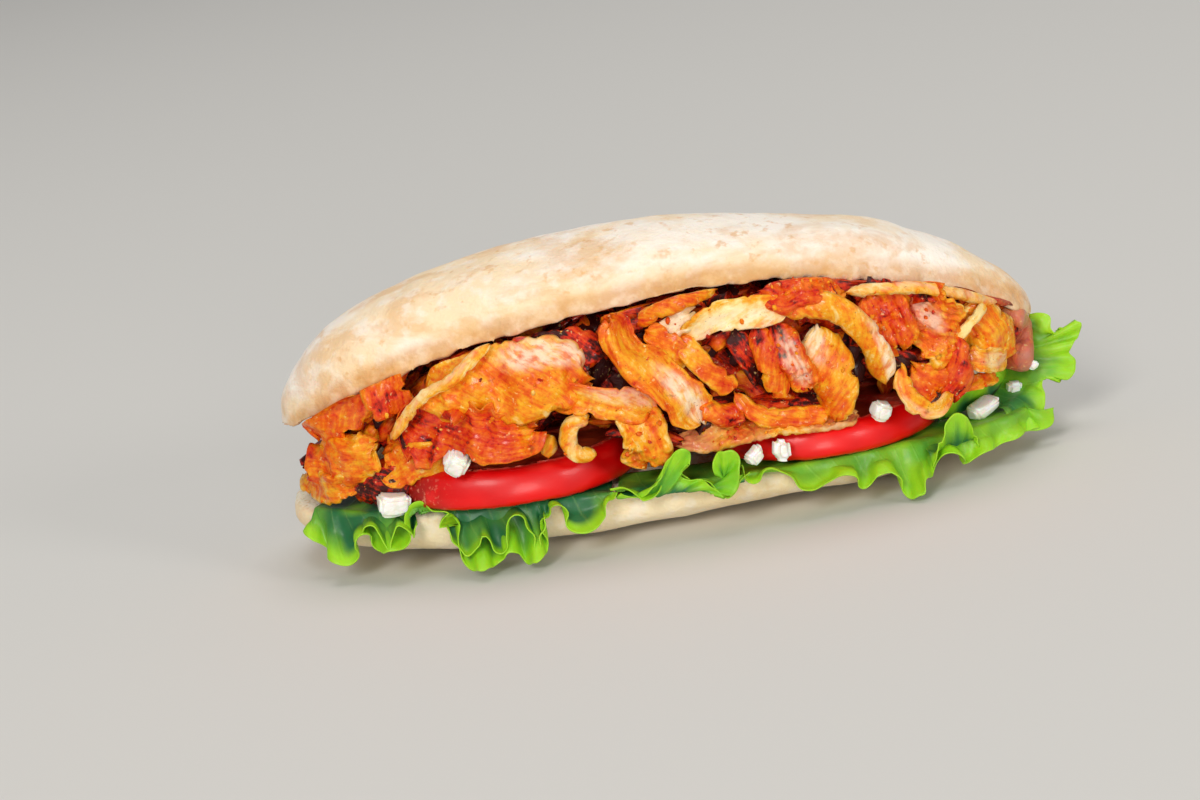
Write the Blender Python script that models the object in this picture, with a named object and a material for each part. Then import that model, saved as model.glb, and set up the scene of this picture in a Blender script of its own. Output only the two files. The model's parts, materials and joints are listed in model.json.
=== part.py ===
"""Doner kebab sandwich: a loaf split along its front, filled with leaf lettuce, tomato, diced onion and
a heap of shaved meat.

Metres, +Z up. X runs along the loaf, the mouth opens towards -Y and the uncut hinge is at +Y. The
origin is the centre of the sandwich's box, on the surface that the loaf lies on.
"""

import math

import bmesh
import bpy
from mathutils import Vector

MM = 0.001
GAP = 0.4 * MM  # clearance between two pieces that touch

# The loaf, opened and filled
LOAF_HALF_LENGTH = 127 * MM
LOAF_FRONT_DEPTH = 52 * MM  # from the long axis to the front lip of the base
LID_FRONT_DEPTH = 51 * MM
LOAF_BACK_DEPTH = 54 * MM
PLAN_BLUNTNESS = 2.4  # exponent of the oval seen from above
CROWN_HEIGHT = 96 * MM
CROWN_X = -8 * MM  # the lid is highest a little left of the middle
CROWN_Y = -8 * MM
TIP_HEIGHT = 43 * MM  # top of the lid at its two tips
TIP_RISE = 15 * MM  # how far the underside lifts at the tips
FRONT_RISE = 3 * MM  # the front of the base arches up a little
FRONT_RISE_X = 25 * MM
FRONT_RISE_SPREAD = 30 * MM
BASE_RIM_HEIGHT = 13 * MM  # where the base is widest
HINGE_HEIGHT = 30 * MM  # where the back of the loaf is widest
SHOULDER_SHARE = 0.64  # height of the lid's widest place as a share of its crest's
FLAT_TO_THE_LEFT = 20 * MM  # the underside is flat this far from the middle
FLAT_TO_THE_RIGHT = 30 * MM
SUNK = 0.8 * MM  # flattens the underside that the loaf lies on
# Bluntness and steps of the skin's four quarters: behind the crest, lid's front, base's front, base's back
SKIN_QUARTERS = ((1.62, 11), (2.5, 9), (2.5, 8), (2.6, 8))

# The mouth, cut into the loaf
CRUMB_HEIGHT = 17 * MM  # top of the base, which the lettuce lies on
CRUMB_SLOPE = -0.035  # the base thins towards the right
LIP_HEIGHT = 80 * MM  # front lip of the lid at its highest
LIP_X = 20 * MM
LIP_TIP_HEIGHT = 35 * MM
LID_THICKNESS = 14 * MM
HINGE_WALL = 13 * MM
HINGE_HALF_LENGTH = 106 * MM  # past this the mouth runs right through the loaf
HINGE_FULL_SHARE = 0.72  # share of that length with the wall at its full thickness
LEAST_DEPTH = 4 * MM  # of the mouth behind its middle, at the tips
MOUTH_REACH = 100 * MM  # how far the cutter runs out in front
MOUTH_ROOF_YS = (-28 * MM, -40 * MM, -50 * MM)
NOSE_SHARE = 0.3  # height of the mouth's deepest place as a share of its opening

# Tomato slices: x and y of the centre, radius, height of the middle, thickness, tilt to the right
TOMATO_SLICES = {
    "tomato_left": (-51 * MM, -16 * MM, 42.5 * MM, 27.0 * MM, 12.2 * MM, 2.0),
    "tomato_right": (49 * MM, -14 * MM, 40.5 * MM, 22.9 * MM, 10.6 * MM, 3.2),
}
TOMATO_EDGE = 3.2 * MM  # rounding of the skin

# The meat heap
HEAP_FLOOR = 33.6 * MM  # on the tomato slices, which press into it
HEAP_FLOOR_SLOPE = -0.03
HEAP_TIP_FLOOR = 25 * MM
HEAP_HALF_LENGTH = 121 * MM
HEAP_TIP_STARTS = 0.86  # share of that length past which the heap's floor sinks to the tip's
HEAP_TIP_SHARE = 0.3  # height left at the tips
HEAP_FRONT_DEPTH = 50 * MM
HEAP_BACK_DEPTH = 41 * MM
HEAP_HEADROOM = 1.4 * MM
HEAP_STEP_Y = -24 * MM  # behind this the meat falls down past the tomato slices
HEAP_BED_LIFT = 2.6 * MM
HEAP_BED_ENDS = (0.55, 0.75)  # shares of the half length over which it lifts off the leaves
SHAVING_THICKNESS = 7 * MM
SHAVING_SUNK = 2 * MM  # how deep a slice's mid-plane starts in the heap
HEAP_VOXEL = 2.6 * MM
HEAP_FACES_KEPT = 0.1

# Lettuce
LEAF_THICKNESS = 1.0 * MM
LEAF_LIFT = 1.0 * MM  # from the crumb to the leaf's mid-plane
LEAF_FLAT_SHARES = (0.0, 0.44, 0.78)  # places between the leaf's root and the lip
FRILL_START = 0.8 * MM  # how far out of the lip the frill begins
RUFFLE_LENGTH = 15 * MM
RUFFLE_HEIGHT = 2.6 * MM
FRILL_ROWS = 5
LEAF_COLUMN = 3.2 * MM


def material(name, colour, roughness):
    made = bpy.data.materials.new(name)
    made.use_nodes = True
    shader = made.node_tree.nodes["Principled BSDF"]
    shader.inputs["Base Color"].default_value = (*colour, 1.0)
    shader.inputs["Roughness"].default_value = roughness
    shader.inputs["Metallic"].default_value = 0.0
    made.diffuse_color = (*colour, 1.0)
    return made


def add_object(name, mesh_data, finish, parent):
    """Links a bmesh as a smooth-shaded object."""
    bmesh.ops.recalc_face_normals(mesh_data, faces=mesh_data.faces)
    mesh = bpy.data.meshes.new(name)
    mesh_data.to_mesh(mesh)
    mesh_data.free()
    mesh.shade_smooth()
    mesh.set_sharp_from_angle(angle=math.radians(40))
    mesh.materials.append(finish)
    made = bpy.data.objects.new(name, mesh)
    bpy.context.collection.objects.link(made)
    made.parent = parent
    return made


def hide_helper(helper):
    """Keeps a cutter or a guide out of the model."""
    helper.hide_render = True
    helper.display_type = "WIRE"


def loft(mesh_data, rings):
    """Skins closed rings of equal length, and closes both ends with a fan."""
    rows = [[mesh_data.verts.new(point) for point in ring] for ring in rings]
    count = len(rings[0])
    for near, far in zip(rows, rows[1:]):
        for i in range(count):
            j = (i + 1) % count
            mesh_data.faces.new((near[i], near[j], far[j], far[i]))
    for row, ring in ((rows[0], rings[0]), (rows[-1], rings[-1])):
        middle = mesh_data.verts.new(sum((Vector(p) for p in ring), Vector()) / count)
        for i in range(count):
            mesh_data.faces.new((row[i], row[(i + 1) % count], middle))


def power(value, exponent):
    """A signed power, for superellipses."""
    return math.copysign(abs(value) ** exponent, value)


def arch(t, n, m):
    """1 at the middle, 0 at t = 1 or -1."""
    return max(0.0, 1 - abs(t) ** n) ** (1 / m)


def taper(share, kept):
    """1 at full share, and what is kept where the share is 0."""
    return kept + (1 - kept) * share


def ease(value, start, end):
    """0 up to the start, 1 from the end on, smooth between."""
    t = min(1.0, max(0.0, (value - start) / (end - start)))
    return t * t * (3 - 2 * t)


def lopsided(x, peak):
    """x as a share of the way from the peak to that side's tip, from -1 to 1."""
    side = LOAF_HALF_LENGTH + peak if x < peak else LOAF_HALF_LENGTH - peak
    return (x - peak) / side


def plan(x, half_length=LOAF_HALF_LENGTH):
    """The loaf's depth at x as a share of its depth in the middle."""
    return arch(x / half_length, PLAN_BLUNTNESS, PLAN_BLUNTNESS)


def crown(x):
    """Height of the lid's crest."""
    t = lopsided(x, CROWN_X)
    rise = arch(t, 2.2, 2.2) if t < 0 else arch(t, 2.0, 1.6)
    return TIP_HEIGHT + (CROWN_HEIGHT - TIP_HEIGHT) * rise


def lip(x):
    """Height of the lid's front lip."""
    t = lopsided(x, LIP_X)
    rise = arch(t, 2.2, 2.0) if t < 0 else arch(t, 2.0, 1.7)
    return LIP_TIP_HEIGHT + (LIP_HEIGHT - LIP_TIP_HEIGHT) * rise


def ceiling(x):
    """Height of the mouth's roof below the crest."""
    return min(crown(x) - LID_THICKNESS * taper(plan(x), 0.55), lip(x) + 1 * MM)


def underside(x):
    """Height of the loaf's skin below the long axis, flat in the middle and lifting towards the tips."""
    start = FLAT_TO_THE_RIGHT if x > 0 else FLAT_TO_THE_LEFT
    t = max(0.0, abs(x) - start) / (LOAF_HALF_LENGTH - start)
    return TIP_RISE * t**3


def crumb(x):
    """Height of the base's cut face."""
    return CRUMB_HEIGHT + CRUMB_SLOPE * x


def quarter(centre, half_depth, half_height, bluntness, first_turn, steps):
    """Points along a quarter of a superellipse in the YZ plane, without its last point."""
    points = []
    for k in range(steps):
        angle = (first_turn + k / steps) * math.pi / 2
        y = centre[0] + half_depth * power(math.cos(angle), 2 / bluntness)
        z = centre[1] + half_height * power(math.sin(angle), 2 / bluntness)
        points.append((y, z))
    return points


def loaf_section(x):
    """The loaf's skin at x, with its mouth still closed by a wall in front."""
    share = plan(x)
    top = crown(x)
    bottom = underside(x)
    middle = CROWN_Y * share
    lid_depth = (LID_FRONT_DEPTH + CROWN_Y) * share
    base_depth = (LOAF_FRONT_DEPTH + CROWN_Y) * share
    back_depth = (LOAF_BACK_DEPTH - CROWN_Y) * share
    shoulder = SHOULDER_SHARE * top
    hinge = bottom + (HINGE_HEIGHT - bottom) * taper(share, 0.6)
    rim = bottom + (BASE_RIM_HEIGHT - 0.6 * bottom) * taper(share, 0.5)
    sizes = (
        (hinge, back_depth, top - hinge),
        (shoulder, lid_depth, top - shoulder),
        (rim, base_depth, rim - bottom),
        (hinge, back_depth, hinge - bottom),
    )
    points = []
    for turn, (height, depth, rise) in enumerate(sizes):
        bluntness, steps = SKIN_QUARTERS[turn]
        points += quarter((middle, height), depth, rise, bluntness, turn, steps)
    bow = FRONT_RISE * math.exp(-(((x - FRONT_RISE_X) / FRONT_RISE_SPREAD) ** 2))
    placed = []
    for y, z in points:
        if z < rim:
            toward_front = max(0.0, (middle - y) / base_depth)
            z = max(z - SUNK, 0.0) + bow * toward_front * (1 - z / rim)
        placed.append((x, y, z))
    return placed


def hinge_face(x):
    """Depth of the mouth's back wall, measured from the middle of the loaf's depth."""
    full = HINGE_FULL_SHARE * HINGE_HALF_LENGTH
    through = max(0.0, abs(x) - full) / (HINGE_HALF_LENGTH - full)
    wall = HINGE_WALL * (1 - through * through)
    return max(LEAST_DEPTH, LOAF_BACK_DEPTH * plan(x) - CROWN_Y - wall)


def mouth_section(x, inset=0.0):
    """The space between base and lid at x, run out in front of the loaf."""
    nose_y = hinge_face(x) - inset
    floor = crumb(x) + inset
    roof = ceiling(x) - inset
    nose_z = floor + NOSE_SHARE * (roof - floor)
    points = quarter((CROWN_Y, nose_z), nose_y, roof - nose_z, 1.75, 0, 9)
    front_drop = (ceiling(x) - lip(x)) / (LID_FRONT_DEPTH + CROWN_Y)
    for y in (CROWN_Y, *MOUTH_ROOF_YS, -MOUTH_REACH):
        points.append((y, roof - front_drop * (CROWN_Y - y)))
    for y in (-MOUTH_REACH, MOUTH_ROOF_YS[2], MOUTH_ROOF_YS[0], CROWN_Y):
        points.append((y, floor))
    points += quarter((CROWN_Y, nose_z), nose_y, nose_z - floor, 3.0, 3, 5)[1:]
    return [(x, y, z) for y, z in points]


def make_mouth(parent, name, inset):
    """A hidden solid as large as the mouth, or smaller all round by the inset."""
    space = bmesh.new()
    loft(space, [mouth_section(x, inset) for x in stations(1.12 * LOAF_HALF_LENGTH, 25)])
    mouth = add_object(name, space, material(name, (0.5, 0.5, 0.5), 0.8), parent)
    hide_helper(mouth)
    return mouth


def stations(half_length, count):
    """Places along X, closer together towards both ends."""
    return [
        half_length * math.sin(math.pi / 2 * (2 * k / (count - 1) - 1))
        for k in range(count)
    ]


def make_bread(parent):
    """The loaf: its hull with the mouth cut out, so that lid, hinge and base are one piece."""
    crust = material("bread", (0.86, 0.70, 0.47), 0.75)
    hull = bmesh.new()
    loft(hull, [loaf_section(x) for x in stations(0.999 * LOAF_HALF_LENGTH, 27)])
    bread = add_object("bread", hull, crust, parent)

    cut = bread.modifiers.new("cut the mouth", "BOOLEAN")
    cut.operation = "DIFFERENCE"
    cut.object = make_mouth(parent, "mouth", 0.0)


def make_slice(parent, name, size, extra=0.0):
    """One round slice with a rounded skin, or a larger one all round by the extra."""
    x, y, radius, z, thickness, tilt = size
    skin = material(name, (0.75, 0.03, 0.02), 0.25)
    radius, depth = radius + extra, thickness + 2 * extra
    disc = bmesh.new()
    bmesh.ops.create_cone(
        disc, cap_ends=True, segments=40, radius1=radius, radius2=radius, depth=depth
    )
    rims = [e for e in disc.edges if abs(e.verts[0].co.z - e.verts[1].co.z) < depth / 2]
    bmesh.ops.bevel(disc, geom=rims, offset=TOMATO_EDGE, segments=2, affect="EDGES")
    made = add_object(name, disc, skin, parent)
    made.location = (x, y, z)
    made.rotation_euler.y = math.radians(tilt)
    return made


def make_tomato(parent):
    for name, size in TOMATO_SLICES.items():
        make_slice(parent, name, size)


# Shaved meat on the front of the heap, in mm: x and z of the middle, length, width, turn in degrees,
# and how far it stands proud
MEAT_SHAVINGS = (
    (-104, 52, 26, 13, 30, 1),
    (-86, 62, 22, 11, 74, 2),
    (-63, 62, 46, 6, 23, 6),
    (-40, 63, 44, 15, -6, 5),
    (-61, 46, 52, 16, -21, 4),
    (-82, 41, 26, 10, 15, 3),
    (-22, 48, 40, 13, -19, 4),
    (-11, 34, 20, 12, -43, 5),
    (-3, 60, 46, 14, -58, 6),
    (9, 76, 30, 6, 6, 3),
    (14, 54, 24, 9, -50, 2),
    (28, 67, 38, 8, 8, 5),
    (54, 63, 34, 10, -22, 6),
    (68, 51, 24, 8, -70, 6),
    (49, 73, 26, 9, -12, 3),
    (31, 51, 22, 12, -73, 2),
    (42, 48, 23, 11, -76, 3),
    (58, 43, 32, 13, -80, 4),
    (42, 37, 44, 8, -6, 4),
    (32, 32, 74, 5, -4, 4),
    (85, 57, 36, 18, -22, 3),
    (88, 67, 54, 5, -17, 4),
    (101, 46, 30, 14, 0, 3),
    (84, 36, 26, 10, -25, 6),
    (103, 34, 24, 9, -8, 3),
    (115, 38, 18, 14, -80, 1),
)


def heap_section(x):
    """The heap at x: it hangs over the tomato in front, and fills the mouth down to the leaves behind."""
    share = plan(x, HEAP_HALF_LENGTH)
    reach = min(1.0, abs(x) / HEAP_HALF_LENGTH)
    sinking = max(0.0, (reach - HEAP_TIP_STARTS) / (1 - HEAP_TIP_STARTS))
    floor = HEAP_FLOOR + (HEAP_TIP_FLOOR - HEAP_FLOOR) * sinking + HEAP_FLOOR_SLOPE * x
    full = ceiling(x) - HEAP_HEADROOM - floor
    roof = floor + full * taper(share, HEAP_TIP_SHARE)
    bed = crumb(x) + HEAP_BED_LIFT
    bed += (floor - bed) * ease(reach, *HEAP_BED_ENDS)
    middle = (floor + roof) / 2
    nose = crumb(x) + NOSE_SHARE * (ceiling(x) - crumb(x))
    nose = min(max(nose, bed + 1 * MM), roof - 1 * MM)
    back = min(hinge_face(x) - HEAP_HEADROOM, HEAP_BACK_DEPTH * share - CROWN_Y)
    front = HEAP_FRONT_DEPTH * share + CROWN_Y
    step = HEAP_STEP_Y * share
    points = quarter((CROWN_Y, nose), back, roof - nose, 1.7, 0, 8)
    points += quarter((CROWN_Y, middle), front, roof - middle, 2.6, 1, 7)
    points += quarter((CROWN_Y, middle), front, middle - floor, 4.2, 2, 7)[:-1]
    points += [(step, floor), (step - 0.5 * MM, bed), (CROWN_Y * share, bed)]
    points += quarter((CROWN_Y, nose), back, nose - bed, 3.0, 3, 6)[1:]
    return [(x, y, z) for y, z in points]


def front_of_heap(x):
    return -HEAP_FRONT_DEPTH * plan(x, HEAP_HALF_LENGTH)


def shaving_rings(x, z, length, width, turn, proud):
    """Rings along one slice of meat, which bows out of the heap and tapers at both ends."""
    turn = math.radians(turn)
    along = Vector((math.cos(turn), 0, math.sin(turn)))
    across = Vector((-math.sin(turn), 0, math.cos(turn)))
    rings = []
    count = 8
    sides = 8
    for k in range(count + 1):
        t = 2 * k / count - 1
        centre = Vector((x, 0, z)) + along * (t * length / 2)
        centre.y = front_of_heap(centre.x) - proud * (1 - 0.9 * t * t) + SHAVING_SUNK
        narrowing = max(0.15, arch(t, 4.0, 3.0))
        ring = []
        for i in range(sides):
            angle = 2 * math.pi * i / sides
            sideways = across * (width / 2 * narrowing * power(math.cos(angle), 0.8))
            outwards = Vector((0, SHAVING_THICKNESS / 2 * narrowing * math.sin(angle), 0))
            ring.append(centre + sideways + outwards)
        rings.append(ring)
    return rings


def make_meat(parent):
    """The heap of shaved meat as one solid out to its uneven outline."""
    roasted = material("meat", (0.66, 0.27, 0.07), 0.45)
    heap = bmesh.new()
    loft(heap, [heap_section(x) for x in stations(0.995 * HEAP_HALF_LENGTH, 25)])
    for x, z, length, width, turn, proud in MEAT_SHAVINGS:
        sizes = [value * MM for value in (x, z, length, width)]
        loft(heap, shaving_rings(*sizes, turn, proud * MM))
    meat = add_object("meat", heap, roasted, parent)
    merge = meat.modifiers.new("merge the shavings", "REMESH")
    merge.mode = "VOXEL"
    merge.voxel_size = HEAP_VOXEL
    merge.use_smooth_shade = True
    thin = meat.modifiers.new("fewer faces", "DECIMATE")
    thin.ratio = HEAP_FACES_KEPT
    for name, size in TOMATO_SLICES.items():
        press = meat.modifiers.new("pressed by " + name, "BOOLEAN")
        press.operation = "DIFFERENCE"
        press.object = make_slice(parent, name + "_room", size, GAP)
        hide_helper(press.object)
    trim = meat.modifiers.new("clear of the bread", "BOOLEAN")
    trim.operation = "INTERSECT"
    trim.object = make_mouth(parent, "mouth_space", GAP)


# The frill of each leaf: its ends along the lip as turns of the loaf's oval (0 is the right tip, 90 the
# middle of the front), its root, and lobes of turn, spread, reach and drop below the bed.
LETTUCE_LEAVES = {
    "lettuce_left": {
        "turns": (172, 97),
        "root": (-60 * MM, 8 * MM),
        "reach": 4.5 * MM,
        "drop": 1.5 * MM,
        "lobes": (
            (162, 5, 4, 2),
            (148, 5, 2, 3),
            (137, 5.5, 2, 8),
            (118.5, 4.2, 5, 14.5),
            (109, 3.6, 4, 13.5),
            (101.5, 2.2, 2, 7),
        ),
    },
    "lettuce_middle": {
        "turns": (95.5, 76.5),
        "root": (6 * MM, 6 * MM),
        "reach": 4.5 * MM,
        "drop": 1 * MM,
        "crest": (88.5, 5.5, 13),
        "lobes": ((93.2, 1.4, 2, 4), (85.8, 1.6, 2, 6), (78, 2, 1, 3)),
    },
    "lettuce_right": {
        "turns": (75.5, -9),
        "root": (78 * MM, 4 * MM),
        "reach": 4.5 * MM,
        "drop": 4 * MM,
        "lobes": (
            (74, 2.5, 1, 3),
            (66, 6, 1, 3),
            (58, 3.6, 7, 10.5),
            (48, 4, 2, 4),
            (38, 6, 2, 1),
            (25, 4, 1, 2),
            (12, 5, 3, -7),
            (-1, 8, 10, -21),
        ),
    },
}


def lip_point(turn):
    """A point of the base's lip and the outward direction there."""
    angle = math.radians(-turn)
    depth = LOAF_FRONT_DEPTH if turn > 0 else LOAF_BACK_DEPTH
    squeeze = 2 / PLAN_BLUNTNESS
    x = LOAF_HALF_LENGTH * power(math.cos(angle), squeeze)
    y = depth * power(math.sin(angle), squeeze)
    outward = Vector(
        (
            power(x / LOAF_HALF_LENGTH, PLAN_BLUNTNESS - 1) / LOAF_HALF_LENGTH,
            power(y / depth, PLAN_BLUNTNESS - 1) / depth,
            0,
        )
    )
    return Vector((x, y, 0)), outward.normalized()


def frill_size(leaf, turn):
    """How far the frill reaches out and hangs down at that turn."""
    reach, drop = leaf["reach"], leaf["drop"]
    for middle, spread, more_reach, more_drop in leaf["lobes"]:
        bump = math.exp(-(((turn - middle) / spread) ** 2))
        reach += more_reach * MM * bump
        drop += more_drop * MM * bump
    return reach, drop


def leaf_column(leaf, turn, along):
    """Points from the leaf's root, out over the lip and down its frill."""
    edge, outward = lip_point(turn)
    root = Vector((*leaf["root"], 0))
    reach, drop = frill_size(leaf, turn)
    middle, spread, crest = leaf.get("crest", (0, 1, 0))
    crest *= MM * math.exp(-(((turn - middle) / spread) ** 4))
    points = []
    for share in LEAF_FLAT_SHARES:
        flat = root.lerp(edge, share)
        points.append(flat + Vector((0, 0, crumb(flat.x) + LEAF_LIFT)))
    bed = crumb(edge.x) + LEAF_LIFT
    wave = math.sin(2 * math.pi * along / RUFFLE_LENGTH)
    for k in range(FRILL_ROWS + 1):
        q = k / FRILL_ROWS
        bend = q * math.pi / 2
        outwards = reach * math.sin(bend) + FRILL_START
        height = bed - drop * (1 - math.cos(bend)) + crest * math.sin(math.pi * q**0.7)
        ruffle = RUFFLE_HEIGHT * q * wave
        outwards += ruffle * math.sin(bend)
        height += ruffle * math.cos(bend)
        points.append(edge + outward * outwards + Vector((0, 0, height)))
    return points


def even_turns(first, last):
    """Turns that divide that stretch of the lip evenly, each with its distance along the lip."""
    steps = 120
    turns = [first + (last - first) * k / steps for k in range(steps + 1)]
    walked = [0.0]
    for near, far in zip(turns, turns[1:]):
        walked.append(walked[-1] + (lip_point(far)[0] - lip_point(near)[0]).length)
    wanted = max(8, round(walked[-1] / LEAF_COLUMN))
    places = []
    for k in range(wanted + 1):
        along = walked[-1] * k / wanted
        i = min(steps - 1, sum(1 for passed in walked[1:] if passed <= along))
        part = min(1.0, (along - walked[i]) / (walked[i + 1] - walked[i]))
        places.append((turns[i] + (turns[i + 1] - turns[i]) * part, along))
    return places


def make_lettuce(parent):
    """Leaves that lie on the base and hang over its lip in a ruffled frill."""
    green = material("lettuce", (0.30, 0.55, 0.07), 0.4)
    for name, leaf in LETTUCE_LEAVES.items():
        columns = [leaf_column(leaf, turn, along) for turn, along in even_turns(*leaf["turns"])]
        sheet = bmesh.new()
        rows = [[sheet.verts.new(point) for point in column] for column in columns]
        for near, far in zip(rows, rows[1:]):
            for i in range(len(near) - 1):
                sheet.faces.new((near[i], near[i + 1], far[i + 1], far[i]))
        bmesh.ops.remove_doubles(sheet, verts=sheet.verts, dist=0.01 * MM)
        made = add_object(name, sheet, green, parent)
        body = made.modifiers.new("leaf thickness", "SOLIDIFY")
        body.thickness = LEAF_THICKNESS
        body.offset = 0.0
        body.use_rim = True


# Diced onion: x, y, z of the middle and the side in mm, turn and lean in degrees
ONION_DICE = (
    (-68, -55.6, 37.8, 8.0, 8, 30),
    (-91, -43, 26.4, 8.5, 15, 6),
    (25.5, -56, 23.6, 5.5, 30, 6),
    (34.5, -57.5, 24.6, 6.5, 12, -8),
    (69, -47.5, 30.6, 6.5, 25, 6),
    (104, -24, 19.2, 8.0, 35, 6),
    (116, -14, 18.0, 4.5, 20, 10),
)
DICE_EDGE = 0.7 * MM


def make_onion(parent):
    """Dice of raw onion, each a slightly flattened block with soft edges."""
    white = material("onion", (0.90, 0.90, 0.80), 0.3)
    for number, (x, y, z, side, turn, lean) in enumerate(ONION_DICE, start=1):
        block = bmesh.new()
        bmesh.ops.create_cube(block, size=side * MM)
        bmesh.ops.scale(block, vec=(1.0, 0.9, 0.85), verts=block.verts)
        bmesh.ops.bevel(block, geom=block.edges[:], offset=DICE_EDGE, segments=1, affect="EDGES")
        made = add_object(f"onion_dice_{number}", block, white, parent)
        made.location = (x * MM, y * MM, z * MM)
        made.rotation_euler = (math.radians(lean), math.radians(8), math.radians(turn))


def centre_on_origin(parent):
    """Moves the whole so that the middle of its box's underside is the origin."""
    bpy.context.view_layer.update()
    graph = bpy.context.evaluated_depsgraph_get()
    corners = []
    for piece in parent.children:
        if piece.hide_render:
            continue
        shape = piece.evaluated_get(graph)
        corners += [shape.matrix_world @ Vector(corner) for corner in shape.bound_box]
    for axis in (0, 1):
        low = min(corner[axis] for corner in corners)
        high = max(corner[axis] for corner in corners)
        parent.location[axis] = -(low + high) / 2


def main():
    for old in list(bpy.data.objects):
        bpy.data.objects.remove(old)
    sandwich = bpy.data.objects.new("sandwich", None)
    bpy.context.collection.objects.link(sandwich)
    make_bread(sandwich)
    make_tomato(sandwich)
    make_meat(sandwich)
    make_lettuce(sandwich)
    make_onion(sandwich)
    centre_on_origin(sandwich)


main()
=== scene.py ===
# Doner kebab sandwich: the finish of every piece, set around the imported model.
# Lengths in the dictionaries are in millimetres. X runs along the loaf, its mouth opens towards -Y.
import json
import math

import bmesh
import bpy
import numpy as np
from mathutils import Euler, Matrix, Vector

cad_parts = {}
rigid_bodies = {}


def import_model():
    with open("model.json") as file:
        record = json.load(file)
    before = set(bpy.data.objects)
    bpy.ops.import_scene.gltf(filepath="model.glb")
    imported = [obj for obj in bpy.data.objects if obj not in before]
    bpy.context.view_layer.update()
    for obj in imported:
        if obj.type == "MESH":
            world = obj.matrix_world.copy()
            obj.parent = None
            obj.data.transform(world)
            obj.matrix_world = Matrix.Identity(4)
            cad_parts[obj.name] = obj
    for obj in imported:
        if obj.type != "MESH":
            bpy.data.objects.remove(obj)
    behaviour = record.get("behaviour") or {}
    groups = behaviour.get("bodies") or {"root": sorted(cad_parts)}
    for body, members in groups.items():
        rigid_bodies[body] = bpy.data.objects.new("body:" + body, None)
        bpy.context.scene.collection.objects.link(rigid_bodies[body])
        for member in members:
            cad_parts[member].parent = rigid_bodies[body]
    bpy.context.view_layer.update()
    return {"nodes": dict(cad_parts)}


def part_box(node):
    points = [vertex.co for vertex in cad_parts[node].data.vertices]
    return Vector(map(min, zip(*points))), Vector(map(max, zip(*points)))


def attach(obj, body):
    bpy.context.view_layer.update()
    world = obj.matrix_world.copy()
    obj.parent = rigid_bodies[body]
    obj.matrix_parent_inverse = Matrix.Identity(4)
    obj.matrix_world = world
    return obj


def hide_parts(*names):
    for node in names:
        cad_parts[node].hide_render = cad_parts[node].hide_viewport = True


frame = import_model()

mm = 0.001

# The loaf's outline, which the other pieces follow
loaf = {
    "halfLength": 127.0,
    "frontDepth": 52.0,
    "bluntness": 2.4,
    "crumbHeight": 17.0,
    "crumbSlope": -0.035,
    "lipHeight": 80.0,
    "lipTipHeight": 35.0,
    "lipX": 20.0,  # where the lid's lip is highest
    "lipLeftCurve": (2.2, 1 / 2.0),  # the powers of its curve from there to the left tip
    "lipRightCurve": (2.0, 1 / 1.7),
    "lipSag": 3.6,  # how far the lip droops over the meat
    "sagFades": (110.0, 125.0),  # away from the middle, towards both tips
    "heapHalfLength": 121.0,
    "heapFront": 50.0,
}

breadLow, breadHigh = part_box("bread")
middleX = (breadLow.x + breadHigh.x) / 2 / mm
middleY = breadLow.y / mm + loaf["frontDepth"]
loafPlace = np.array([middleX, middleY, 0.0])


def ease(value, start, end):
    # 0 at the start, 1 at the end, smooth between
    t = np.clip((np.asarray(value, float) - start) / (end - start), 0, 1)
    return t * t * (3 - 2 * t)


def bell(value, width):
    return np.exp(-((value / width) ** 2))


def planShare(x, halfLength=loaf["halfLength"]):
    # depth at x as a share of the depth in the middle
    n = loaf["bluntness"]
    return np.clip(1 - np.abs(np.asarray(x, float) / halfLength) ** n, 0, 1) ** (1 / n)


def lipY(x):
    return -loaf["frontDepth"] * planShare(x)


def heapY(x):
    return -loaf["heapFront"] * planShare(x, loaf["heapHalfLength"])


def crumbTop(x):
    return loaf["crumbHeight"] + loaf["crumbSlope"] * np.asarray(x, float)


def lidLip(x):
    # the height of the lid's lip, before it droops
    fromPeak = np.asarray(x, float) - loaf["lipX"]
    isLeft = fromPeak < 0
    reach = np.where(isLeft, loaf["halfLength"] + loaf["lipX"], loaf["halfLength"] - loaf["lipX"])
    power = np.where(isLeft, loaf["lipLeftCurve"][0], loaf["lipRightCurve"][0])
    root = np.where(isLeft, loaf["lipLeftCurve"][1], loaf["lipRightCurve"][1])
    rise = np.clip(1 - np.abs(fromPeak / reach) ** power, 0, 1) ** root
    return loaf["lipTipHeight"] + (loaf["lipHeight"] - loaf["lipTipHeight"]) * rise


def lidDroop(x):
    nearest, furthest = loaf["sagFades"]
    return loaf["lipSag"] * ease(np.abs(x), furthest, nearest)


def lumps(points, size, seed):
    # a smooth random value from -1 to 1 at each point, with lumps about that size
    cells = np.asarray(points, float) / size + seed * 19.7
    low = np.floor(cells).astype(np.int64)
    part = cells - low
    part = part * part * (3 - 2 * part)
    total = np.zeros(len(cells))
    for corner in range(8):
        step = np.array([corner & 1, corner >> 1 & 1, corner >> 2 & 1])
        key = low + step
        mixed = (key[:, 0] * 73856093) ^ (key[:, 1] * 19349663) ^ (key[:, 2] * 83492791)
        mixed = (mixed ^ (mixed >> 13)) * 1274126177
        value = ((mixed ^ (mixed >> 16)) & 0xFFFF) / 32767.5 - 1
        total += np.prod(np.where(step, part, 1 - part), axis=1) * value
    return total


def roughLumps(points, size, seed, octaves=3):
    total = 0
    for k in range(octaves):
        total = total + lumps(points, size / 2**k, seed + k) / 2**k
    return total


def layered(points, layers, seed):
    # lumps of several sizes together, from the size, height and seed of each layer
    return sum(height * lumps(points, size, seed + number) for size, height, number in layers)


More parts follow.
